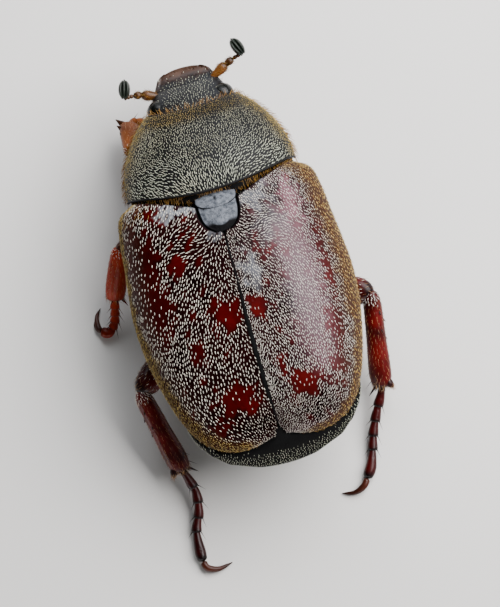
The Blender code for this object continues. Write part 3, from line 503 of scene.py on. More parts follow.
def spike(root, direction, length, radius, droop=0.0):
    """A curved spine that starts a little inside what it grows from."""
    root, direction = np.asarray(root, float), unit(direction)

    def line(u):
        u = np.asarray(u, float)[..., None]
        return root + direction * length * (u * 1.15 - 0.15) - np.array((0, 0, 1.0)) * droop * length * u**2

    hint = (0, 0, 1) if abs(direction[2]) < 0.9 else (1, 0, 0)
    sizes = ((0.0, radius), (0.4, 0.80 * radius), (0.8, 0.36 * radius), (1.0, 0.10 * radius))
    return tube_of(limb(line, sizes, hint, end_round=0.0), *FINENESS["spine"])[0]


# Scales and hair

SCALE_ROWS = ((0.22, 0.44, 0.90), (0.70, 0.46, 0.80))                      # along, half width, height
HAIR_ROWS = ((0.0, 1.0), (0.3, 0.85), (0.6, 0.62), (0.85, 0.34))            # along, size
PATCH = 0.003                          # size of a tuft's place on the coat's map


def scale_shape():
    """A flat pointed scale: points as along, across, up and bend, and its triangles."""
    points = [(0.0, 0.0, 0.2, 0.0)]
    for share, half, height in SCALE_ROWS:
        points += [(share, -half, 0.0, 0.0), (share, 0.0, height, 0.0), (share, half, 0.0, 0.0)]
    points.append((1.0, 0.0, 0.2, 0.0))
    faces = [(0, 1, 2), (0, 2, 3), (0, 3, 1)]
    for row in range(len(SCALE_ROWS) - 1):
        a = 1 + 3 * row
        b = a + 3
        faces += [(a, b, b + 1), (a, b + 1, a + 1), (a + 1, b + 1, b + 2), (a + 1, b + 2, a + 2),
                  (a + 2, b + 2, b), (a + 2, b, a)]
    a, last = 1 + 3 * (len(SCALE_ROWS) - 1), len(points) - 1
    faces += [(a, last, a + 1), (a + 1, last, a + 2), (a + 2, last, a)]
    return np.array(points), np.array(faces)


def hair_shape(bend):
    """A three-sided hair that bends the way it lies."""
    points, faces = [], []
    for share, size in HAIR_ROWS:
        for k in range(3):
            a = 2 * math.pi * k / 3
            points.append((share, 0.5 * size * math.cos(a), 0.5 * size * math.sin(a), bend * share**2))
    points.append((1.0, 0.0, 0.0, bend))
    for row in range(len(HAIR_ROWS) - 1):
        for k in range(3):
            a, b = 3 * row + k, 3 * row + (k + 1) % 3
            faces += [(a, b, b + 3), (a, b + 3, a + 3)]
    top = 3 * (len(HAIR_ROWS) - 1)
    faces += [(top + k, top + (k + 1) % 3, len(points) - 1) for k in range(3)]
    faces.append((2, 1, 0))
    return np.array(points), np.array(faces)


def thinned(points, gap):
    """Which of the points to keep so that no two are nearer than the later one's gap."""
    size = float(gap.max())
    kept, cells = [], {}
    keys = np.floor(points / size).astype(int)
    for i, key in enumerate(map(tuple, keys)):
        near = [j for dx in (-1, 0, 1) for dy in (-1, 0, 1) for dz in (-1, 0, 1)
                for j in cells.get((key[0] + dx, key[1] + dy, key[2] + dz), ())]
        if near:
            offset = points[near] - points[i]
            if (dots(offset, offset) < gap[i] ** 2).any():
                continue
        cells.setdefault(key, []).append(i)
        kept.append(i)
    return kept


def spread(function, gap, density=None, stretch=(1, 1, 1), steps=(160, 120)):
    """(u, v) strewn over a surface, gap apart where density is 1 and sparser where it is less.

    Where a stretch is below 1 the points may lie further apart along that axis."""
    u, v = grid_shares(*steps)
    points = function(u, v)
    area = np.linalg.norm(np.cross(np.gradient(points, axis=0), np.gradient(points, axis=1)), axis=-1)
    share = np.ones_like(u) if density is None else np.clip(density(points, u, v), 0, 1)
    weight = (area * share).ravel()
    squeeze = float(np.prod(stretch)) if min(stretch) < 1 else 1.0
    count = int(3.0 * weight.sum() * squeeze / gap**2) + 1
    picks = RANDOM.choice(weight.size, count, p=weight / weight.sum())
    jitter = RANDOM.uniform(-0.5, 0.5, (2, count))
    u = np.clip(u.ravel()[picks] + jitter[0] / (steps[0] - 1), 0, 1)
    v = np.clip(v.ravel()[picks] + jitter[1] / (steps[1] - 1), 0, 1)
    gaps = gap / np.sqrt(np.clip(share.ravel()[picks], 0.08, 1))
    kept = thinned(function(u, v) * stretch, gaps)
    return u[kept], v[kept]


def roots_at(function, u, v, inside):
    """Points and normals of a surface at (u, v), with the normals away from the points inside."""
    step = 1e-3
    points = function(u, v)
    along_u = function(np.minimum(u + step, 1), v) - function(np.maximum(u - step, 0), v)
    along_v = function(u, v + step) - function(u, v - step)
    normals = unit(np.cross(along_v, along_u))
    return points, normals * np.sign(dots(normals, points - inside))[:, None]


def strewn(surface, gap, density=None, inside=(0, 0, 0), **how):
    """Roots strewn over a surface, and their (u, v). Inside is a point or a function of (u, v)."""
    u, v = spread(surface, gap, density, **how)
    return roots_at(surface, u, v, inside(u, v) if callable(inside) else inside), (u, v)


def level(x, y):
    """Directions without a rise."""
    x, y = np.broadcast_arrays(x, y)
    return np.stack([x, y, np.zeros(x.shape)], axis=-1)


def spread_on_mesh(obj, gap, density):
    """Points and normals strewn over an object's triangles, gap apart where density is 1."""
    mesh = obj.data
    mesh.calc_loop_triangles()
    ids = np.empty(len(mesh.loop_triangles) * 3, np.int32)
    mesh.loop_triangles.foreach_get("vertices", ids)
    co = np.empty(len(mesh.vertices) * 3)
    mesh.vertices.foreach_get("co", co)
    corners = ((co.reshape(-1, 3) - ORIGIN) / MM)[ids.reshape(-1, 3)]
    cross = np.cross(corners[:, 1] - corners[:, 0], corners[:, 2] - corners[:, 0])
    area = 0.5 * np.linalg.norm(cross, axis=1)
    share = np.clip(density(corners.mean(axis=1), unit(cross)), 0, 1)
    weight = area * share
    count = int(3.0 * weight.sum() / gap**2) + 1
    picks = RANDOM.choice(len(weight), count, p=weight / weight.sum())
    a, b = RANDOM.uniform(0, 1, (2, count, 1))
    a, b = np.where(a + b > 1, 1 - a, a), np.where(a + b > 1, 1 - b, b)
    chosen = corners[picks]
    points = chosen[:, 0] + (chosen[:, 1] - chosen[:, 0]) * a + (chosen[:, 2] - chosen[:, 0]) * b
    kept = thinned(points, gap / np.sqrt(np.clip(share[picks], 0.08, 1)))
    return points[kept], unit(cross)[picks][kept]


def wrapped_place(points):
    """Where points fall on the body's side wrapped flat round its long axis, from 0 to 1 both ways."""
    turn = np.arctan2(points[:, 2] - 1.8, points[:, 0]) / (2 * math.pi) + 0.5
    return turn, (points[:, 1] + 4.2) / 9.6


class Coat:
    """The scales or hairs of one object, gathered surface by surface."""

    def __init__(self, name, shape, material, islands):
        self.name, self.material = name, material
        self.template, self.faces = shape
        self.islands, self.used = islands, 0
        self.points, self.maps, self.gold = [], [], []

    def add(self, roots, places, flow, length, width, lift, thick=None, gold=0.0, spread_out=0.15):
        """Roots are points and normals, places their (u, v) on the surface's own unwrap.

        Lift is the angle to the surface. A hair is as thick as it is wide."""
        thick = width if thick is None else thick
        points, normals = roots
        count = len(points)
        flow = np.asarray(flow, float) + RANDOM.normal(0, spread_out, (count, 3))
        lie = unit(flow - normals * dots(flow, normals)[:, None])
        rise = lift * RANDOM.uniform(0.7, 1.3, count)[:, None]
        axis = lie * np.cos(rise) + normals * np.sin(rise)
        up = unit(normals - axis * dots(normals, axis)[:, None])
        side = np.cross(axis, up)
        length = length * np.ones(count) * RANDOM.uniform(0.80, 1.20, count)
        width = width * np.ones(count) * RANDOM.uniform(0.85, 1.15, count)
        t = self.template
        root = points - axis * (0.10 * length)[:, None] - normals * 0.003
        made = (root[:, None] + axis[:, None] * (t[None, :, 0] * length[:, None])[..., None]
                + side[:, None] * (t[None, :, 1] * width[:, None])[..., None]
                + up[:, None] * (t[None, :, 2] * thick)[None, ..., None]
                + lie[:, None] * (t[None, :, 3] * length[:, None])[..., None])
        columns = math.ceil(math.sqrt(self.islands))
        corner = np.array((self.used % columns, self.used // columns), float)
        self.used += 1
        centre = (corner + 0.04 + 0.92 * np.stack(places, -1)) / columns
        local = np.stack([t[:, 0] - 0.5, t[:, 1]], -1) * PATCH
        self.points.append(made.reshape(-1, 3))
        self.maps.append((centre[:, None] + local[None]).reshape(-1, 2))
        self.gold.append(np.repeat(gold * np.ones(count), len(t)))

    def finish(self):
        size = len(self.template)
        points = np.vstack(self.points)
        count = len(points) // size
        faces = (self.faces[None] + (np.arange(count) * size)[:, None, None]).reshape(-1, 3)
        obj = add_piece(self.name, [(points, faces.tolist())], self.material,
                        gold=self.gold, chance=[np.repeat(RANDOM.uniform(0, 1, count), size)])
        layer = obj.data.uv_layers.new(name="OFBake")
        ids = np.empty(len(obj.data.loops), np.int32)
        obj.data.loops.foreach_get("vertex_index", ids)
        layer.data.foreach_set("uv", np.vstack(self.maps)[ids].astype(np.float32).ravel())
        return obj


# Materials


def new_material(name, colour, roughness, **sockets):
    material = bpy.data.materials.new(name)
    material.use_nodes = True
    tree = material.node_tree
    shader = tree.nodes["Principled BSDF"]
    shader.inputs["Base Color"].default_value = (*colour, 1)
    shader.inputs["Roughness"].default_value = roughness
    for key, value in sockets.items():
        shader.inputs[key.replace("_", " ")].default_value = value
    return material, tree, shader


def texture(tree, kind, scale, **values):
    """A procedural texture in the object's own coordinates; scale is in waves to a millimetre."""
    coordinates = tree.nodes.get("Object place") or tree.nodes.new("ShaderNodeTexCoord")
    coordinates.name = "Object place"
    node = tree.nodes.new(kind)
    node.inputs["Scale"].default_value = scale / MM
    for key, value in values.items():
        node.inputs[key].default_value = value
    tree.links.new(coordinates.outputs["Object"], node.inputs["Vector"])
    return node


def ramp(tree, source, stops):
    node = tree.nodes.new("ShaderNodeValToRGB")
    while len(node.color_ramp.elements) < len(stops):
        node.color_ramp.elements.new(0.5)
    for element, (position, colour) in zip(node.color_ramp.elements, stops):
        element.position = position
        element.color = (*colour, 1)
    tree.links.new(source, node.inputs[0])
    return node.outputs[0]


def mix(tree, share, first, second):
    """The first colour where share is 0 and the second where it is 1."""
    node = tree.nodes.new("ShaderNodeMix")
    node.data_type = "RGBA"
    tree.links.new(share, node.inputs[0])
    tree.links.new(first, node.inputs[6])
    if isinstance(second, tuple):
        node.inputs[7].default_value = (*second, 1)
    else:
        tree.links.new(second, node.inputs[7])
    return node.outputs[2]


def attribute(tree, name):
    node = tree.nodes.new("ShaderNodeAttribute")
    node.attribute_name = name
    return node.outputs["Fac"]


def bump(tree, shader, height, distance, strength=1.0, under=None):
    node = tree.nodes.new("ShaderNodeBump")
    node.inputs["Strength"].default_value = strength
    node.inputs["Distance"].default_value = distance * MM
    tree.links.new(height, node.inputs["Height"])
    if under is not None:
        tree.links.new(under, node.inputs["Normal"])
    tree.links.new(node.outputs["Normal"], shader.inputs["Normal"])
    return node.outputs["Normal"]


def vary_roughness(tree, shader, source, low, high):
    node = tree.nodes.new("ShaderNodeMapRange")
    node.inputs["To Min"].default_value = low
    node.inputs["To Max"].default_value = high
    tree.links.new(source, node.inputs["Value"])
    tree.links.new(node.outputs["Result"], shader.inputs["Roughness"])


def duller(tree, shader, share, most):
    """Rougher by up to most where the share is 1."""
    node = tree.nodes.new("ShaderNodeMath")
    node.operation = "MULTIPLY_ADD"
    node.inputs[1].default_value = most
    tree.links.new(share, node.inputs[0])
    tree.links.new(shader.inputs["Roughness"].links[0].from_socket, node.inputs[2])
    tree.links.new(node.outputs[0], shader.inputs["Roughness"])


def colour_by(tree, shader, colour):
    tree.links.new(colour, shader.inputs["Base Color"])


def noise(tree, scale, detail, roughness=0.5):
    return texture(tree, "ShaderNodeTexNoise", scale, Detail=detail, Roughness=roughness).outputs["Fac"]


def between(tree, source, colours, low=0.3, high=0.75):
    """From the first colour where the source is low to the second where it is high."""
    return ramp(tree, source, ((low, colours[0]), (high, colours[1])))


def times(factor, colour):
    return tuple(factor * c for c in colour)


def pitted(tree, shader, scale, depth, strength=0.6):
    """Small pits, each round a point where a scale is rooted."""
    pits = texture(tree, "ShaderNodeTexVoronoi", scale, Randomness=0.95)
    height = between(tree, pits.outputs["Distance"], ((0, 0, 0), (1, 1, 1)), 0.06, 0.35)
    return bump(tree, shader, height, depth, strength)


def shell_material(name, shine, cloud, base, layers, gloss, pits=None, grain=None, **sockets):
    """Shell whose colour and roughness vary in clouds.

    Layers are attributes and the colours they bring in, plain or as a pair that varies too. Grain is
    its noise and its bump."""
    material, tree, shader = new_material(name, base[0][0], 0.4, Specular_IOR_Level=shine, **sockets)
    cloud = noise(tree, *cloud)
    colour = between(tree, cloud, *base)
    for layer, tint in layers:
        varied = isinstance(tint[0], tuple)
        colour = mix(tree, attribute(tree, layer), colour, between(tree, cloud, *tint) if varied else tint)
    colour_by(tree, shader, colour)
    relief = pitted(tree, shader, *pits) if pits else None
    if grain:
        bump(tree, shader, noise(tree, *grain[0]), *grain[1], relief)
    vary_roughness(tree, shader, cloud, *gloss)
    return material, tree, shader


def wing_case_material(name, shine):
    """Dark maroon shell, red where it is bare, brown along the side margin and black at the suture, with a
    painted rosy sheen and a painted silvery sky reflection in its colour.
    """
    material, tree, shader = shell_material(
        name, shine, (1.3, 4.0, 0.6), (SHELL_DARK, 0.30, 0.64), SHELL_LAYERS, (0.20, 0.38),
        (8.0, 0.010), ((30.0, 3.0), (0.004, 0.35)))
    shader.inputs["Specular Tint"].default_value = (*SHELL_GLOSS_TINT, 1)
    for layer in ("margin", "seam"):
        duller(tree, shader, attribute(tree, layer), 0.40)
    return material


def black_material(name):
    """Black chitin with small pits."""
    colour, pits, gloss, shine = BLACKS[name]
    pair = (colour, times(2.4, colour))
    return shell_material(name, shine, (2.5, 5.0), (pair,), (), gloss, (pits, 0.012, 0.7))[0]


def head_material():
    """Black with a brown band along the front of the clypeus."""
    return shell_material("head_shell", 0.22, (3.0, 5.0), (HEAD_BLACK,), (("front", (CLYPEUS_BROWN,)),),
                          (0.30, 0.52), (13.0, 0.020, 1.0))[0]


def plate_material():
    """Blue-grey of the scutellum and collar, partly their own satin colour and partly a painted reflection of
    the sky, black along its rim.
    """
    return shell_material("scutellum_shell", 0.03, (10.0, 8.0, 0.8), (PLATE_GREY_AND_SKY_SHEEN, 0.38, 0.62),
                          (("rim", PLATE_RIM),), (0.34, 0.50), grain=((26.0, 5.0, 0.7), (0.016, 0.8)))[0]


def leg_material(name):
    """Glossy chitin, nearly black where shade is 1."""
    dark, bright, scatter, shine = BROWNS[name]
    material, _, shader = shell_material(
        name, shine, (1.8, 4.0), ((dark, bright), 0.34, 0.66), (("shade", times(0.10, dark)),), (0.26, 0.42),
        (9.0, 0.010, 0.5), ((24.0, 3.0), (0.003, 0.3)),
        Subsurface_Weight=scatter, Subsurface_Scale=0.2 * MM)
    shader.inputs["Subsurface Radius"].default_value = (1.0, 0.30, 0.10)
    return material


def scale_material(name):
    """Pale scales: chance varies each one, and gold turns it to the warm colour."""
    pale, warm = SCALE_COLOURS[name]
    material, tree, shader = new_material(name, pale, 0.36)
    chance = attribute(tree, "chance")
    tint = ramp(tree, chance, ((0.0, times(0.55, pale)), (0.5, pale), (1.0, times(1.3, pale))))
    golden = ramp(tree, chance, ((0.0, times(0.35, warm)), (0.5, warm), (1.0, times(1.7, warm))))
    colour_by(tree, shader, mix(tree, attribute(tree, "gold"), tint, golden))
    bump(tree, shader, noise(tree, 60.0, 2.0), 0.001, 0.3)
    return material


def hair_material(name):
    dark, bright = HAIR_COLOURS[name]
    material, tree, shader = new_material(name, bright, 0.35)
    colour_by(tree, shader, between(tree, attribute(tree, "chance"), (dark, bright), 0.0, 1.0))
    bump(tree, shader, noise(tree, 50.0, 2.0), 0.001, 0.3)
    return material


def eye_material():
    """Greenish black with fine facets."""
    material, tree, shader = new_material("eye_facets", EYE_COLOURS[0], 0.24, Specular_IOR_Level=0.25)
    facets = texture(tree, "ShaderNodeTexVoronoi", 36.0, Randomness=0.25).outputs["Distance"]
    colour_by(tree, shader, between(tree, facets, EYE_COLOURS, 0.0, 0.6))
    bump(tree, shader, facets, -0.006, 0.7)
    return material


def floor_material():
    material, tree, shader = new_material("floor_paper", FLOOR_COLOURS[0], 0.7)
    colour_by(tree, shader, between(tree, noise(tree, 0.05, 3.0), FLOOR_COLOURS, 0.3, 0.7))
    return material


# Wing cases


def case_function(side):
    """u runs from the base to the tip and v from the suture to the side margin."""
    def function(u, v):
        phi = 0.5 * math.pi * np.clip(v, 0, 1) ** CASE_EVEN
        inner, outer = spline(CASE_INNER, u), spline(CASE_OUTER, u)
        across = np.sin(phi) ** (2 / CASE_ACROSS)
        rise = np.maximum(np.cos(phi), 0.0) ** (2 / CASE_UP)
        flat = inner + (outer - inner) * across[..., None]
        x, y = flat[..., 0], flat[..., 1]
        z = outer[..., 2] + (inner[..., 2] - outer[..., 2]) * rise
        for centre_x, centre_y, height, spread_xy in SWELLINGS:
            z = z + rise * height * np.exp(-((x - centre_x) ** 2 + (y - centre_y) ** 2) / (2 * spread_xy**2))
        return np.stack([x * side, y, z], axis=-1)
    return function


def patch_share(points, left, right):
    """From 0 to 1 over ragged patches of the left and the right wing case."""
    x, y = np.abs(points[..., 0]), points[..., 1]
    wobble_x, wobble_y = x, y
    for far, scale, seed in RAGGED_ACROSS:
        wobble_x = wobble_x + far * ripple(x, y, scale, seed)
    for far, scale, seed in RAGGED_ALONG:
        wobble_y = wobble_y + far * ripple(y, x, scale, seed)
    result = np.zeros_like(x)
    for patches, sign in ((left, 1), (right, -1)):
        chosen = np.sign(points[..., 0]) == sign
        for cx, cy, rx, ry, strength in patches:
            distance = np.sqrt(((wobble_x - cx) / rx) ** 2 + ((wobble_y - cy) / ry) ** 2)
            result = np.maximum(result, strength * chosen * (1 - smoothstep(*PATCH_FADE, distance)))
    return result


def bareness(points):
    """1 in the bare red patches of the wing cases and 0 where the scales lie close."""
    x, y, side = np.abs(points[..., 0]), points[..., 1], np.sign(points[..., 0])
    speckle = smoothstep(0.35, 0.85, ripple(x + 0.1 * side, 0.7 * y, 0.13, 1.3 + 0.7 * side))
    patches = patch_share(points, BARE_LEFT, BARE_RIGHT)
    return np.clip(np.maximum(patches, 0.6 * speckle * smoothstep(0.3, 0.7, x)), 0, 1)


def seam_width(x, y):
    """How far the dark line along the suture reaches on each side."""
    return SEAM_REACH + SEAM_WIDER * (x > 0) * smoothstep(1.1, 2.0, y) * smoothstep(3.9, 3.3, y)


def edge_inset(u, v):
    """How far a place on a wing case lies from its side edge, seen from above."""
    across = np.linalg.norm((spline(CASE_OUTER, u) - spline(CASE_INNER, u))[..., :2], axis=-1)
    return across * (1 - np.sin(0.5 * math.pi * np.clip(v, 0, 1) ** CASE_EVEN) ** (2 / CASE_ACROSS))


def margin_share(points, u, v):
    """1 along a wing case's side margin and the outer part of its tip."""
    x, y = points[..., 0], points[..., 1]
    away = np.abs(x)
    left = 0.12 + 0.08 * smoothstep(1.2, 2.0, y) + 0.08 * smoothstep(3.2, 3.8, y)
    right = 0.32 - 0.16 * smoothstep(1.8, 2.8, y)
    reach = np.where(x > 0, left, right) + 0.05 * ripple(away, y, 0.16)
    inner_tip = smoothstep(3.6, 4.0, y) * smoothstep(0.85, 0.35, away)
    return np.clip((1 - smoothstep(0.5 * reach, 1.4 * reach, edge_inset(u, v))) * (1 - inner_tip), 0, 1)


def flank_share(points, u, v):
    """The brown flank inside the margin, fading inwards."""
    return 0.40 * (1 - smoothstep(0.25, 0.60, edge_inset(u, v))) * smoothstep(4.0, 3.4, points[..., 1])


def case_thickness(u, v):
    """Thick at the suture, thin at the side margin and at the tip."""
    across = 0.6 * SHELL_DISC + (0.8 * SHELL_RIM - 0.6 * SHELL_DISC) * v**2
    return across * (1 - 0.7 * smoothstep(0.86, 0.97, u))


def shell_part(function, thickness, roll=4):
    """A plate with a rounded edge all round, from its upper surface and its thickness."""
    u, v = grid_shares(*SHELL_GRID)
    u_steps, v_steps = SHELL_GRID
    upper = function(u, v)
    normals = unit(np.cross(np.gradient(upper, axis=1), np.gradient(upper, axis=0)))
    normals = normals * np.sign(dots(normals, upper * (0.7, 0.8, 0.6) - (0, 1.4, 0)))[..., None]
    lower = upper - normals * thickness(u, v)[..., None]
    count = u_steps * v_steps
    index = np.arange(count).reshape(u_steps, v_steps)
    border = np.concatenate([index[0, :], index[1:, -1], index[-1, -2::-1], index[-2:0:-1, 0]])
    top, bottom = upper.reshape(-1, 3)[border], lower.reshape(-1, 3)[border]
    ahead = np.roll(top, -1, axis=0) - np.roll(top, 1, axis=0)
    out = unit(np.cross(ahead, normals.reshape(-1, 3)[border]))
    out = out * np.sign(dots(out, top - upper.reshape(-1, 3).mean(axis=0)).mean())
    half = (top - bottom) / 2
    bulge = out * np.linalg.norm(half, axis=1, keepdims=True) * 0.35
    turns = [math.pi * k / (roll + 1) for k in range(1, roll + 1)]
    loops = [(top + bottom) / 2 + half * math.cos(a) + bulge * math.sin(a) for a in turns]
    points = np.vstack([upper.reshape(-1, 3), lower.reshape(-1, 3), *loops])
    faces = [grid_faces(u_steps, v_steps), grid_faces(u_steps, v_steps, first=count, flip=True)]
    chain = [border] + [2 * count + k * len(border) + np.arange(len(border)) for k in range(roll)]
    chain.append(border + count)
    for near, far in zip(chain[:-1], chain[1:]):
        faces.append(np.stack([np.roll(near, -1), near, far, np.roll(far, -1)], -1))
    return points, outward(points, np.vstack(faces).tolist())


def wing_flow(points):
    """Scales lie backward and a little outward, across beside the scutellum, and converge at the tip."""
    x, y = points[:, 0], points[:, 1]
    away = np.abs(x)
    angle = 1.65 * bell(away, 0.78, 0.42) * bell(y, 0.05, 0.40)
    angle += 0.34 * smoothstep(0.15, 0.6, away) * smoothstep(3.6, 1.2, y)
    angle += (0.15 - 0.45 * bell(away, 0.13, 0.09)) * smoothstep(0.2, 0.8, y) * smoothstep(0.4, 0.2, away)
    angle -= 0.60 * smoothstep(3.2, 4.2, y) * smoothstep(0.1, 0.9, away)
    angle += 0.20 * ripple(x, y, 0.28)
    return level(np.sign(x) * np.sin(angle), np.cos(angle))


def wing_density(side):
    """How close the scales of a wing case lie, as a function of the place."""
    def density(p, u, v):
        away, y = np.abs(p[..., 0]), p[..., 1]
        margin = margin_share(p, u, v)
        at_margin = 1 + (0.45 if side > 0 else -0.62) * margin
        bare = (0.93 - 0.12 * (y > 2.8)) * smoothstep(0.15, 0.85, bareness(p))
        covered = (1 - bare * (1 - margin)) * at_margin
        near_suture = 1 + 0.45 * bell(away, 0.10, 0.10)
        near_suture = near_suture + 0.5 * bell(p[..., 0], -0.08, 0.06) * smoothstep(1.0, 1.8, y)
        at_base = 1 + 0.3 * smoothstep(0.16, 0.05, u)
        at_tip = 1 + 0.5 * smoothstep(3.5, 4.1, y) * smoothstep(1.0, 0.4, away)
        behind = 1 - 0.22 * (side > 0) * smoothstep(2.0, 3.2, y)
        clear = away > seam_width(p[..., 0], y) + 0.006
        return 0.62 * covered * near_suture * at_base * at_tip * behind * (v < 0.995) * clear
    return density


def hairy_margin(p, u, v):
    shoulder = smoothstep(-0.60, -0.95, p[..., 1]) * smoothstep(1.35, 1.7, np.abs(p[..., 0]))
    return np.maximum(0.5 * margin_share(p, u, v), 0.8 * shoulder)


def make_wing_shell(side, name, shine):
    part = shell_part(case_function(side), case_thickness)
    points = part[0]
    width = seam_width(points[:, 0], points[:, 1])
    seam = 1 - smoothstep(width - 0.006, width + 0.014, np.abs(points[:, 0]))
    u, v = grid_shares(*SHELL_GRID)
    upper = case_function(side)(u, v)
    under = np.ones(len(points))
    under[:u.size] = 0
    margin = np.zeros(len(points))
    margin[:u.size] = np.maximum(margin_share(upper, u, v), flank_share(upper, u, v)).ravel()
    shell = wing_case_material(f"wing_case_{name}_gloss", shine)
    # Two of the layers paint a rosy sheen and a silvery reflection of the sky into the shell's colour
    dress(f"wing_case_{name}", "shell", [part], shell,
          bare=[bareness(points)], margin=[margin], seam=[np.maximum(seam, under)],
          bloom=[patch_share(points, PAINTED_REFLECTION_LEFT, PAINTED_REFLECTION_RIGHT)], blush=[patch_share(points, (), PAINTED_SHEEN_RIGHT)])


def make_wing_cases(scales, gold_hair):
    hair = Coat("hair_wing_cases", hair_shape(0.2), gold_hair, 2)
    for side, name, gap, long, wide, shine in WING_COATS:
        make_wing_shell(side, name, shine)
        surface = case_function(side)

        def inside(u, v):
            return surface(u, v) * (0.3, 1, 0.4)

        roots, places = strewn(surface, gap, wing_density(side), inside,
                               stretch=(1, 0.66, 1), steps=(180, 160))
        p = roots[0]
        inner_tip = smoothstep(3.2, 4.1, p[:, 1]) * smoothstep(1.0, 0.4, np.abs(p[:, 0]))
        size = 1 - 0.22 * bell(p[:, 0], 0, 0.20) - 0.24 * smoothstep(3.4, 4.2, p[:, 1]) - 0.12 * inner_tip
        gold = np.clip(margin_share(p, *places) + (0.10 if side > 0 else 0.0), 0, 1)
        coat = Coat(f"scales_wing_case_{name}", scale_shape(), scales, 1)
        coat.add(roots, places, wing_flow(p), long * size, wide * size, lift=0.17, thick=0.009, gold=gold,
                 spread_out=0.07)
        coat.finish()
        gap, *size = WING_HAIR
        roots, places = strewn(surface, gap, hairy_margin, inside)
        hair.add(roots, places, (0.5 * side, 0.9, 0), *size, lift=0.30, spread_out=0.25)
    hair.finish()


def make_suture(material):
    """The black line where the wing cases meet, a little on the left one."""
    part, share = tube_of(limb(even_path(SUTURE_LINE), SUTURE_SIZES, end_round=0.02), *FINENESS["suture"])
    add_piece("suture_line", [part], material)


# Pronotum


def pronotum_function(u, v):
    """u runs from the hind edge to the front one, v right round from the left side over the back."""
    turn = 2 * math.pi * v
    row = spline(PRONOTUM, u)
    y_mid, y_corner, half_width, top, margin, belly = (row[..., i] for i in range(6))
    slant = PRONOTUM_BELLY_SLANT[0] + (PRONOTUM_BELLY_SLANT[1] - PRONOTUM_BELLY_SLANT[0]) * u
    c, s = np.cos(turn), np.sin(turn)
    power = np.where(s > 0, 2.15, 1.75)
    x = half_width * signed_power(c, 2 / power)
    rise = np.abs(s) ** (2 / power)
    upper_y = y_mid + (y_corner - y_mid) * (x / half_width) ** 2
    y = np.where(s >= 0, upper_y, y_corner + slant * rise)
    z = np.where(s >= 0, margin + (top - margin) * rise, margin - (margin - belly) * rise)
    return np.stack([x, y, z], axis=-1)


def back_of_pronotum(u, v):
    return pronotum_function(u, 0.5 * v)


def pronotum_part(steps=90, sides=160):
    """The plate's ring with a bead along its hind and front edges, hollow at both ends."""
    share = np.linspace(0, 1, steps)
    u, v = grid(share, np.arange(sides) / sides)
    rings = pronotum_function(u, v)
    bead = sum(height * bell(share, at, reach) for height, at, reach in PRONOTUM_BEADS)
    rings = rings + unit(rings - rings.mean(axis=1, keepdims=True)) * bead[:, None, None]

    def closing(edge, out):
        centre = edge.mean(axis=0)
        return [centre + (edge - centre) * (size, 1, size) + (0, out * depth, 0)
                for size, depth in PRONOTUM_HOOD]

    return closed_tube(closing(rings[0], 1)[::-1] + list(rings) + closing(rings[-1], -1))


def make_pronotum(shell, scales, gold_hair):
    part = pronotum_part()
    dress("pronotum", "shell", [part], shell)
    coat = Coat("scales_pronotum", scale_shape(), scales, 1)

    def density(p, u, v):
        inner = smoothstep(0.052, 0.078, u) * (0.80 + 0.20 * ripple(p[..., 0], p[..., 1], 0.26))
        corner = smoothstep(0.13, 0.05, u) * smoothstep(1.30, 1.6, np.abs(p[..., 0]))
        return inner * (1 - corner) * (1 - 0.28 * smoothstep(-1.9, -1.3, p[..., 1]))

    gap, long, wide = PRONOTUM_SCALES
    roots, places = strewn(back_of_pronotum, gap, density, PRONOTUM_MIDDLE, stretch=(1, 0.8, 1))
    p = roots[0]
    inward = 1.15 * smoothstep(0.05, 1.1, np.abs(p[:, 0])) * smoothstep(-2.6, -1.4, p[:, 1])
    angle = -np.sign(p[:, 0]) * inward + 0.28 * ripple(p[:, 0], p[:, 1], 0.30)
    flow = level(np.sin(angle), np.cos(angle))
    front = smoothstep(-2.45, -2.75, p[:, 1] + 0.1 * p[:, 0] ** 2)
    gold = np.maximum(smoothstep(2.70, 2.25, p[:, 2]), 0.9 * front) + 0.14 * ripple(p[:, 0], p[:, 1], 0.5)
    gold = gold + 0.20 * smoothstep(-1.35, -2.1, p[:, 1])
    size = 0.86 + 0.36 * smoothstep(-2.0, -1.35, p[:, 1]) + 0.10 * smoothstep(0.8, 1.5, np.abs(p[:, 0]))
    coat.add(roots, places, flow, long * size, wide * size, lift=0.20, thick=0.007,
             gold=np.clip(gold, 0, 1), spread_out=0.14)
    coat.finish()

    hair = Coat("hair_pronotum", hair_shape(0.25), gold_hair, 2)

    def at_margins(p, u, v):
        side = np.maximum(bell(v, 0.016, 0.020), bell(v, 0.984, 0.020))
        front = smoothstep(0.93, 0.98, u) * smoothstep(0.04, 0.1, v) * smoothstep(0.96, 0.9, v)
        return np.maximum(side, front)

    gap, *size = PRONOTUM_HAIR
    roots, places = strewn(back_of_pronotum, gap, at_margins, PRONOTUM_MIDDLE, steps=(120, 240))
    p = roots[0]
    front = smoothstep(-2.55, -2.8, p[:, 1] + 0.12 * p[:, 0] ** 2)
    flow = level(np.sign(p[:, 0]) * (0.9 - 0.6 * front) + 0.3 * p[:, 0] * front, 0.35 - 1.5 * front)
    hair.add(roots, places, flow, *size, lift=0.55, spread_out=0.28)

    def under_edge(u, v):
        """Just inside and under the hind edge."""
        return pronotum_function(0.06 * u, 0.5 * (0.01 + 0.98 * v)) * (0.97, 1, 0.97) + (0, 0.03, 0)

    gap, *size = UNDER_EDGE_HAIR
    roots, places = strewn(under_edge, gap, None, PRONOTUM_MIDDLE)
    hair.add(roots, places, level(0.2 * roots[0][:, 0], 1.0), *size, lift=0.05, spread_out=0.30)
    hair.finish()


# Head


def head_place(sideways, forward, up):
    axis = np.array((0, -math.cos(HEAD_TILT), -math.sin(HEAD_TILT)))
    normal = np.array((0, -math.sin(HEAD_TILT), math.cos(HEAD_TILT)))
    sideways, forward, up = (np.asarray(q, float)[..., None] for q in (sideways, forward, up))
    return np.array(HEAD_ROOT) + np.array((1.0, 0, 0)) * sideways + axis * forward + normal * up


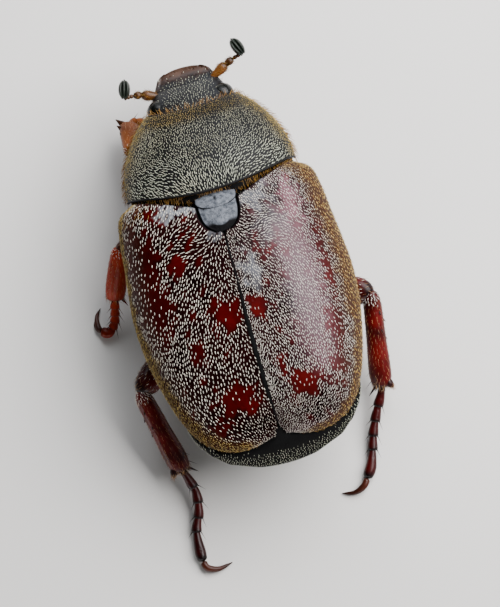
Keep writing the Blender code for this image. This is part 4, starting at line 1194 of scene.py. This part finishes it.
def head_function(u, v):
    """u runs from the neck to the front of the clypeus, v right round from the left over the top."""
    row = spline(HEAD, u)
    forward, half_width, top, bottom = (row[..., i] for i in range(4))
    half_width = half_width * (1 - 0.16 * smoothstep(0.86, 1.0, u) ** 2)
    turn = 2 * math.pi * v
    c, s = np.cos(turn), np.sin(turn)
    power = np.where(s > 0, 2.9, 2.2)
    x = half_width * signed_power(c, 2 / power)
    forward = forward + 0.07 * (1 - (x / half_width) ** 2) * smoothstep(0.70, 1.0, u)
    up = (top + bottom) / 2 + (top - bottom) / 2 * signed_power(s, 2 / power)
    edge = np.abs(x) / half_width
    rim = 0.035 * smoothstep(0.90, 0.97, u) + 0.030 * smoothstep(0.80, 0.90, edge) * smoothstep(0.60, 0.75, u)
    dish = -0.030 * smoothstep(0.62, 0.80, u) * smoothstep(0.98, 0.90, u) * (1 - edge**2)
    suture = -0.012 * bell(u, 0.60 + 0.04 * edge**2, 0.018)
    up = up + np.where(s > 0, rim + dish + suture, 0) * np.minimum(1, 3 * np.abs(s))
    return head_place(x, forward, up)


def top_of_head(u, v):
    return head_function(0.12 + 0.86 * u, 0.5 * v)


def make_eye_and_mouth(name, sign, eyes, black, pale_brown):
    centre = head_place(sign * EYE[0], EYE[1], EYE[2])
    eye = ball(centre, (EYE_RADIUS, 0.95 * EYE_RADIUS, EYE_RADIUS))
    dress(f"eye_{name}", "facets", [eye], eyes)
    jaw = ball(head_place(sign * MANDIBLE[0], MANDIBLE[1], MANDIBLE[2]), MANDIBLE_SIZE)
    add_piece(f"jaw_{name}", [jaw], black)
    line = even_path([head_place(sign * x, y, z) for x, y, z in PALP])
    joints = []
    for k in range(3):
        low, high = k / 3, (k + 1) / 3
        size = np.interp((low, (low + high) / 2, high), np.linspace(0, 1, 5), PALP_SIZES)
        joint = limb(part_of(line, low, high), ((0, 0.75 * size[0]), (0.6, size[1]), (1, 0.9 * size[2])),
                     start_round=0.2, end_round=0.25)
        joints.append(tube_of(joint, *FINENESS["palp"])[0])
    dress(f"palp_{name}", "joints", joints, pale_brown, shade=evenly(0.0, joints))


def make_head(shell, black, eyes, scales, gold_hair, pale_brown):
    part, share = tube_of(head_function, *FINENESS["head"])
    x, y = part[0][:, 0], part[0][:, 1]
    uneven = 0.07 * ripple(x, y, 0.12) + 0.04 * ripple(x, y, 0.04)
    dress("head", "shell", [part], shell, front=[0.9 * smoothstep(0.64, 0.92, share + uneven)])
    for name, sign in (("left", 1), ("right", -1)):
        make_eye_and_mouth(name, sign, eyes, black, pale_brown)
    middle = head_place(0, 0.5, -0.45)

    def density(p, u, v):
        away = np.abs(p[..., 0])
        at_eye = bell(away, EYE[0], 0.20) * smoothstep(0.80, 0.60, u)
        thick = 0.75 + 0.25 * ripple(p[..., 0], p[..., 1], 0.2)
        return 0.8 * thick * (1 - 0.92 * smoothstep(0.55, 0.80, u)) * (1 - 0.9 * at_eye)

    def behind_eyes(p, u, v):
        return np.maximum(bell(v, 0.03, 0.04), bell(v, 0.97, 0.04)) * smoothstep(0.75, 0.5, u)

    coat = Coat("scales_head", scale_shape(), scales, 1)
    gap, *size = HEAD_SCALES
    roots, places = strewn(top_of_head, gap, density, middle, steps=(90, 90))
    angle = 0.9 * roots[0][:, 0]
    flow = np.stack([np.sin(angle), -np.cos(angle), -0.8 * np.cos(angle)], -1)
    coat.add(roots, places, flow, *size, lift=0.22, thick=0.006, gold=0.12, spread_out=0.25)
    coat.finish()
    hair = Coat("hair_head", hair_shape(0.2), gold_hair, 1)
    gap, *size = HEAD_HAIR
    roots, places = strewn(top_of_head, gap, behind_eyes, middle, steps=(90, 180))
    flow = level(np.sign(roots[0][:, 0]), -0.6)
    hair.add(roots, places, flow, *size, lift=0.6, spread_out=0.25)
    hair.finish()


def club_leaf(root, tip, k):
    """A leaf of the club: k is -1, 0 or 1."""
    axis = unit(tip - root)
    stack = unit(np.cross(axis, (0, 0, 1)))

    def line(u):
        u = np.asarray(u, float)[..., None]
        lift = k * (0.25 + 0.75 * np.sin(math.pi * np.clip(0.06 + 0.88 * u, 0, 1)))
        reach = np.linalg.norm(tip - root) * (1 - 0.07 * abs(k))
        return root + axis * (u * 1.04 - 0.04) * reach + stack * LEAF_STEP * lift

    table = ((0, 0.5 * LEAF_HALF, 0.24 * CLUB_HEIGHT), (0.3, LEAF_HALF, 0.46 * CLUB_HEIGHT),
             (0.7, 1.05 * LEAF_HALF, 0.48 * CLUB_HEIGHT), (1, 0.8 * LEAF_HALF, 0.34 * CLUB_HEIGHT))
    return tube_of(limb(line, table, start_round=0.10, end_round=0.28), *FINENESS["leaf"])[0]


def make_antennae(stem, club, gold_hair):
    """Scape, a round second joint, thin joints and a club of three leaves."""
    hair = Coat("hair_antennae", hair_shape(0.2), gold_hair, 2 * len(ANTENNAE))
    gap, *size = ANTENNA_HAIR
    for name, points in ANTENNAE.items():
        socket, scape_end, second_end, bend, root, tip = (np.array(p, float) for p in points)
        second_start = scape_end - 0.2 * (second_end - scape_end)
        thin = even_path([second_end, bend, root])
        joints = [limb(straight(socket, scape_end), SCAPE_SIZES, end_round=0.12),
                  limb(straight(second_start, second_end), SECOND_SIZES, start_round=0.1, end_round=0.15)]
        joints += [limb(part_of(thin, k / 3, (k + 1.15) / 3.15), THIN_SIZES, end_round=0.2) for k in range(3)]
        parts, shade = [], []
        for k, joint in enumerate(joints):
            part, share = tube_of(joint, *FINENESS["stem"])
            parts.append(part)
            dark_end = 0.60 * smoothstep(0.70, 0.98, share) + (0.40 if k else 0.10)
            shade.append(dark_end + 0.35 * smoothstep(0.1, 0.0, share))
        dress(f"antenna_stem_{name}", "joints", parts, stem, shade=shade)
        for joint, start, end in ((joints[0], socket, scape_end), (joints[1], scape_end, second_end)):
            middle = straight(start, end)
            roots, places = strewn(joint, gap, None, lambda u, v: middle(u), steps=(40, 40))
            hair.add(roots, places, end - start, *size, lift=0.6, spread_out=0.3)
        dress(f"antenna_club_{name}", "leaves", [club_leaf(root, tip, k) for k in (-1, 0, 1)], club)
    hair.finish()


# Scutellum and the collar in front of it


def plate(outline, height, centre_y, depth, u_steps=48, v_steps=96):
    """A thin plate from its outline by angle and its height at (x, y), with how far out each vertex is."""
    u, v = grid(np.linspace(0.02, 1, u_steps), np.arange(v_steps) / v_steps)
    edge_x, edge_y = outline(2 * math.pi * v)
    x, y = edge_x * u, centre_y + (edge_y - centre_y) * u
    rings = list(np.stack([x, y, height(x, y, u)], -1))
    rings.append(rings[-1] - (0, 0, 0.4 * depth))
    rings.append(rings[-1] - (0, 0, 0.6 * depth))
    part = closed_tube(rings)
    share = np.concatenate([np.repeat(np.concatenate([u[:, 0], [1.0, 1.0]]), v_steps), [0.0, 1.0]])
    return part, share


def make_scutellum(material):
    half_width, front, tip, height, thickness = SCUTELLUM

    def outline(angle):
        s = np.sin(angle)
        reach = np.where(s > 0, tip - front, -0.05)
        return half_width * np.cos(angle), front + reach * np.abs(s) ** 0.72

    def surface(x, y, u):
        z = height - 0.09 * (x / half_width) ** 2 + 0.05 * y + 0.012 * smoothstep(0.84, 0.92, u)
        return z - 0.045 * smoothstep(0.93, 1.0, u) - 0.02 * smoothstep(front + 0.16, front, y)

    part, share = plate(outline, surface, front + 0.25, thickness - 0.1)
    y = part[0][:, 1]
    at_tip = smoothstep(0.56, 0.66, share) * smoothstep(-0.29, -0.20, y)
    rim = np.maximum(smoothstep(0.93, 0.98, share), at_tip)
    dress("scutellum", "shell", [part], material, rim=[rim])

    def collar_outline(angle):
        x = COLLAR_HALF * signed_power(np.cos(angle), 0.62)
        bulge = COLLAR_BULGE * (1 - (x / COLLAR_HALF) ** 2) * smoothstep(0.0, 0.3, np.sin(angle))
        return x, COLLAR_MIDDLE + COLLAR_REACH * signed_power(np.sin(angle), 0.45) + bulge

    def collar_dent(x, y):
        return bell(x, 0.02, 0.024) * bell(y, -0.78, 0.055)

    def collar_surface(x, y, u):
        z = height - 0.018 - 0.08 * (x / COLLAR_HALF) ** 2 - 0.30 * smoothstep(-0.62, -1.10, y)
        return z - 0.030 * smoothstep(0.93, 1.0, u) - 0.035 * collar_dent(x, y)

    part, share = plate(collar_outline, collar_surface, COLLAR_MIDDLE, 0.16, 60, 120)
    x, y = part[0][:, 0], part[0][:, 1]
    rim = np.clip(collar_dent(x, y) + smoothstep(0.94, 0.99, share), 0, 1)
    add_piece("collar_shell", [part], material, rim=[rim])


def make_hinge(material):
    """The skin that shows in the gap between the pronotum and the wing cases."""
    line = even_path([(-x, y, z) for x, y, z in HINGE[:0:-1]] + list(HINGE))
    part, share = tube_of(limb(line, HINGE_SIZES, end_round=0.03), *FINENESS["hinge"])
    add_piece("hinge_skin", [part], material)


# Thorax and abdomen: the solids' own shapes, smoothed, with scales


def smooth_copy(node, material, voxel=0.040, rounds=5):
    """A finely remeshed, smoothed copy of a node."""
    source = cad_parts[node]
    obj = linked(f"{node}_skin", source.data.copy())
    remesh = obj.modifiers.new("remesh", "REMESH")
    remesh.mode = "VOXEL"
    remesh.voxel_size = voxel * MM
    smooth = obj.modifiers.new("smooth", "SMOOTH")
    smooth.factor = 0.5
    smooth.iterations = rounds
    made = bpy.data.meshes.new_from_object(obj.evaluated_get(bpy.context.evaluated_depsgraph_get()))
    obj.modifiers.clear()
    obj.data = made
    made.materials.clear()
    made.materials.append(material)
    made.shade_smooth()
    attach(obj, "root")
    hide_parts(node)
    return obj


def make_body(dull_black, scales):
    coat = Coat("scales_body", scale_shape(), scales, 4)
    for node, (gap, *size) in BODY_SCALES.items():
        skin = smooth_copy(node, dull_black)

        def density(p, normals):
            if node == "pygidium":
                # On the pygidium no scales grow high up under the wing cases' tips: the bare black band left
                # there stands in for the shadow the cases cast
                return np.where(normals[:, 1] < 0.1, 0.0, 0.9) * smoothstep(2.18, 2.00, p[:, 2])
            return np.where((normals[:, 2] > 0.55) & (p[:, 1] < 4.0), 0.0, 0.9)

        points, normals = spread_on_mesh(skin, gap, density)
        flow = (0, 0.8, 0) - np.outer(np.sign(points[:, 2] - 1.0), (0, 0, 0.8))
        coat.add((points, normals), wrapped_place(points), flow, *size, lift=0.20, thick=0.006,
                 gold=0.10, spread_out=0.2)
    coat.finish()


# Legs


def fold_normal(leg):
    """Square to the plane that a leg folds in."""
    coxa, knee, ankle = (np.array(leg[k]) for k in ("coxa", "knee", "ankle"))
    normal = unit(np.cross(knee - coxa, ankle - knee))
    return normal if normal[2] > 0 else -normal


def tibia_spines(pair, knee, shin, length, outer, flat):
    """Teeth of a front tibia, or the outer spines, end spurs and inner bristles of another."""
    if pair == "front":
        return [spike(knee + shin * length * share + outer * 0.14, outer + shin * 0.6, size, TOOTH_RADIUS)
                for share, size in TEETH]
    reach, made = TIBIA_REACH[pair], []

    def around(turn):
        return outer * math.cos(turn) + flat * math.sin(turn)

    for k in range(OUTER_SPINES):
        out = around(OUTER_FAN * (-1) ** k)
        root = knee + shin * length * (0.20 + 0.09 * k) + out * reach
        made.append(spike(root, out + shin * 1.3, *OUTER_SIZE))
    for turn in SPUR_TURNS:
        out = around(turn)
        made.append(spike(knee + shin * (length - 0.09) + out * 0.12, shin + out * 0.75, *SPUR_SIZE))
    for turn, long in LONG_SPURS:
        out = around(turn)
        root = knee + shin * (length - 0.07) + out * 0.11
        made.append(spike(root, shin + out * 0.8, long, LONG_SPUR_RADIUS))
    for k in range(BRISTLES):
        out = around(math.pi + BRISTLE_FAN * (-1) ** k)
        root = knee + shin * length * (0.62 + 0.055 * k) + out * 0.9 * reach
        made.append(spike(root, out + shin * (1.6 - 0.1 * k), 0.17 + 0.02 * k, BRISTLE_RADIUS))
    return made


def knob_line(pair, knee, shin, length, outer):
    """The middle line of the blunt knob on the outer side of a tibia's end."""
    root = knee + shin * (length - KNOB_BACK) + outer * KNOB_OUT[pair]
    return straight(root, root + unit(outer + shin * 1.2) * KNOB_LENGTH[pair])


def resting(part):
    """The part with nothing below the floor."""
    points, faces = part
    return np.concatenate([points[:, :2], np.maximum(points[:, 2:], 0.0)], axis=1), faces


def make_tarsus(name, pair, leg, shell):
    path = even_path([leg["ankle"], *leg["tarsus"]])
    radius = TARSUS_RADIUS[pair]
    parts, shade = [], []
    for k, (low, high) in enumerate(zip(TARSOMERES[:-1], TARSOMERES[1:])):
        last = k == len(TARSOMERES) - 2
        table = [(share, size * radius) for share, size in (LAST_JOINT if last else OTHER_JOINTS)]
        line = part_of(path, max(low - 0.02, 0), min(high + 0.015, 1))
        part, share = tube_of(limb(line, table, start_round=0.10, end_round=0.09), *FINENESS["tarsus"])
        parts.append(resting(part))
        dark_ends = 0.5 * smoothstep(0.70, 0.92, share) + 0.2 * smoothstep(0.15, 0.0, share)
        shade.append((0.50 if pair == "hind" else 0.12) + dark_ends)
        if last:
            break
        at, ahead = path(np.array(high - 0.01)), unit(path(np.array(high)) - path(np.array(high - 0.03)))
        for sign, long, thick in TARSUS_THORNS:
            side = unit(np.cross(ahead, (0, 0, 1))) * sign
            root = at + side * 0.65 * radius - (0, 0, 0.3 * radius * (long < 0.15))
            parts.append(resting(spike(root, ahead + side * 0.6, long, thick)))
            shade += evenly(0.8, parts[-1:])
    dress(f"{name}_tarsus", "joints", parts, shell, shade=shade)


def make_claws(name, pair, leg, claw_shell):
    """One hook on a hind foot, and a long and a short one on the others."""
    points = np.array([leg["tarsus"][-1], *leg["claw"]], float)
    thick = CLAW_RADIUS[pair]
    hooks = [claw_part(points, 1.0, 0.0, thick)]
    if pair != "hind":
        hooks.append(claw_part(points, SHORT_CLAW, SHORT_CLAW_TURN, SHORT_CLAW_THICKNESS * thick))
    dress(f"{name}_claw", "hooks", [resting(part) for part, share in hooks], claw_shell,
          shade=[0.55 * smoothstep(0.55, 1.0, share) for part, share in hooks])


def coat_leg(parts, scale_coat, hair_coat):
    """Each part is its surface, its middle line and which way its hairs lie."""
    densities = {
        "thigh": lambda p, u, v: 0.6 * (u > 0.30) * (u < 0.90),
        "shin": lambda p, u, v: smoothstep(0.16, 0.07, u) * (u > 0.01),
    }
    for name, (gap, *size) in LEG_SCALES.items():
        surface, middle, axis = parts[name]
        roots, places = strewn(surface, gap, densities[name], lambda u, v: middle(u), steps=(60, 60))
        scale_coat.add(roots, places, axis, *size, lift=0.22, thick=0.007, spread_out=0.2)
    for name, gap, long, wide, lift, begin in LEG_HAIRS:
        if name in parts:
            surface, middle, axis = parts[name]
            roots, places = strewn(surface, gap, lambda p, u, v: 1.0 * (u > begin), lambda u, v: middle(u),
                                   steps=(60, 60))
            hair_coat.add(roots, places, axis, long, wide, lift, spread_out=0.25)


def make_leg(name, leg, shell, claw_shell, scale_coat, hair_coat):
    pair = name.split("_")[0]
    coxa, knee, ankle = (np.array(leg[k], float) for k in ("coxa", "knee", "ankle"))
    flat = fold_normal(leg)
    thigh, shin = unit(knee - coxa), unit(ankle - knee)
    outer = unit(thigh - shin * dots(thigh, shin))
    length = np.linalg.norm(ankle - knee)

    femur = limb(straight(coxa, knee + thigh * 0.06), FEMUR[pair], flat, end_round=0.13)
    part, share = tube_of(femur, *FINENESS["femur"])
    dress(f"{name}_femur", "shell", [part], shell, shade=[0.9 * smoothstep(0.90, 0.97, share)])

    tibia = limb(straight(knee - shin * 0.03, ankle), TIBIA[pair], flat, start_round=0.10, end_round=0.05)
    part, share = tube_of(tibia, *FINENESS["tibia"])
    spines = tibia_spines(pair, knee, shin, length, outer, flat)
    parts = {"thigh": (femur, straight(coxa, knee), thigh), "shin": (tibia, straight(knee, ankle), shin)}
    if pair != "front":
        line = knob_line(pair, knee, shin, length, outer)
        knob = limb(line, KNOB, flat, end_round=0.35)
        parts["knob"] = (knob, line, shin + outer)
        spines.append(tube_of(knob, *FINENESS["knob"])[0])
    dress(f"{name}_tibia", "shell", [part, *spines], shell,
          shade=[0.7 * smoothstep(0.90, 0.99, share), *evenly(0.85, spines)])

    make_tarsus(name, pair, leg, shell)
    make_claws(name, pair, leg, claw_shell)
    coat_leg(parts, scale_coat, hair_coat)


def make_legs(shells, other_shell, claw_shell, scales, hair):
    """The legs named in shells have their own one."""
    scale_coat = Coat("scales_legs", scale_shape(), scales, 2 * len(LEGS))
    hair_coat = Coat("hair_legs", hair_shape(0.15), hair, 4 * len(LEGS))
    for name, leg in LEGS.items():
        make_leg(name, leg, shells.get(name, other_shell), claw_shell, scale_coat, hair_coat)
    scale_coat.finish()
    hair_coat.finish()


def claw_part(points, shrink, turn, thick):
    """A hook along the points, turned and shortened about the first."""
    c, s = math.cos(turn), math.sin(turn)
    root = points[0]
    bent = points - root
    bent = np.stack([bent[:, 0] * c - bent[:, 1] * s, bent[:, 0] * s + bent[:, 1] * c, bent[:, 2]], axis=1)
    line = even_path(root + bent * (shrink, shrink, 1))
    sizes = [(share, size * thick) for share, size in CLAW_SIZES]
    return tube_of(limb(line, sizes, start_round=0.08, end_round=0.0), *FINENESS["claw"])


# Studio


def soft_light(name, location, width, height, power, colour):
    light = bpy.data.lights.new(name, "AREA")
    light.shape = "RECTANGLE"
    light.size, light.size_y = width * MM, height * MM
    light.energy = power
    light.color = colour
    obj = linked(name, light)
    obj.location = Vector(location) * MM
    aim = Vector((0, 0, 1.5 * MM)) - obj.location
    obj.rotation_euler = aim.to_track_quat("-Z", "Y").to_euler()


def make_camera():
    away = Vector((-math.tan(TILT_SIDE), math.tan(TILT_BACK), 1.0)).normalized()
    backward = Vector((0, math.cos(TILT_BACK), -math.sin(TILT_BACK)))
    rightward = Vector((-math.cos(TILT_SIDE), 0, -math.sin(TILT_SIDE)))
    right = backward * math.sin(BODY_TURN) + rightward * math.cos(BODY_TURN)
    right = (right - away * right.dot(away)).normalized()
    up = away.cross(right)
    tip = Vector(ORIGIN) + Vector((0, 0, TIP_HEIGHT * MM))
    step = MM / PIXELS_PER_MM
    target = (tip + right * (IMAGE_SIZE[0] / 2 - TIP_PIXEL[0]) * step
              - up * (IMAGE_SIZE[1] / 2 - TIP_PIXEL[1]) * step)
    distance = IMAGE_SIZE[1] * step * LENS / SENSOR
    data = bpy.data.cameras.new("camera")
    data.lens = LENS
    data.sensor_width = SENSOR
    data.clip_start = 0.001
    data.clip_end = 5.0
    camera = linked("camera", data)
    turn = Matrix((right, up, away)).transposed().to_4x4()
    camera.matrix_world = Matrix.Translation(target + away * distance) @ turn
    bpy.context.scene.camera = camera


def make_studio():
    scene = bpy.context.scene
    size = FLOOR_HALF * MM
    corners = [(-size, -size, 0), (size, -size, 0), (size, size, 0), (-size, size, 0)]
    mesh = bpy.data.meshes.new("floor")
    mesh.from_pydata(corners, [], [(0, 1, 2, 3)])
    mesh.materials.append(floor_material())
    floor = linked("floor", mesh)
    for light in LIGHTS:
        soft_light(*light)
    world = bpy.data.worlds.new("studio")
    world.use_nodes = True
    background = world.node_tree.nodes["Background"]
    background.inputs["Color"].default_value = (*SKY_COLOUR, 1)
    background.inputs["Strength"].default_value = SKY_STRENGTH
    scene.world = world
    make_camera()


def make_animal():
    black, dull_black, club = (black_material(name) for name in BLACKS)
    mahogany, orange, amber, claw_shell, stem = (leg_material(name) for name in BROWNS)
    wing_scales, body_scales = (scale_material(name) for name in SCALE_COLOURS)
    gold_hair, leg_hair = (hair_material(name) for name in HAIR_COLOURS)

    make_wing_cases(wing_scales, gold_hair)
    make_suture(dull_black)
    make_hinge(dull_black)
    make_pronotum(black, body_scales, gold_hair)
    make_head(head_material(), black, eye_material(), body_scales, gold_hair, stem)
    make_antennae(stem, club, gold_hair)
    make_scutellum(plate_material())
    make_body(dull_black, body_scales)
    make_legs({"front_left": orange, "middle_left": amber}, mahogany, claw_shell, wing_scales, leg_hair)


make_studio()
make_animal()
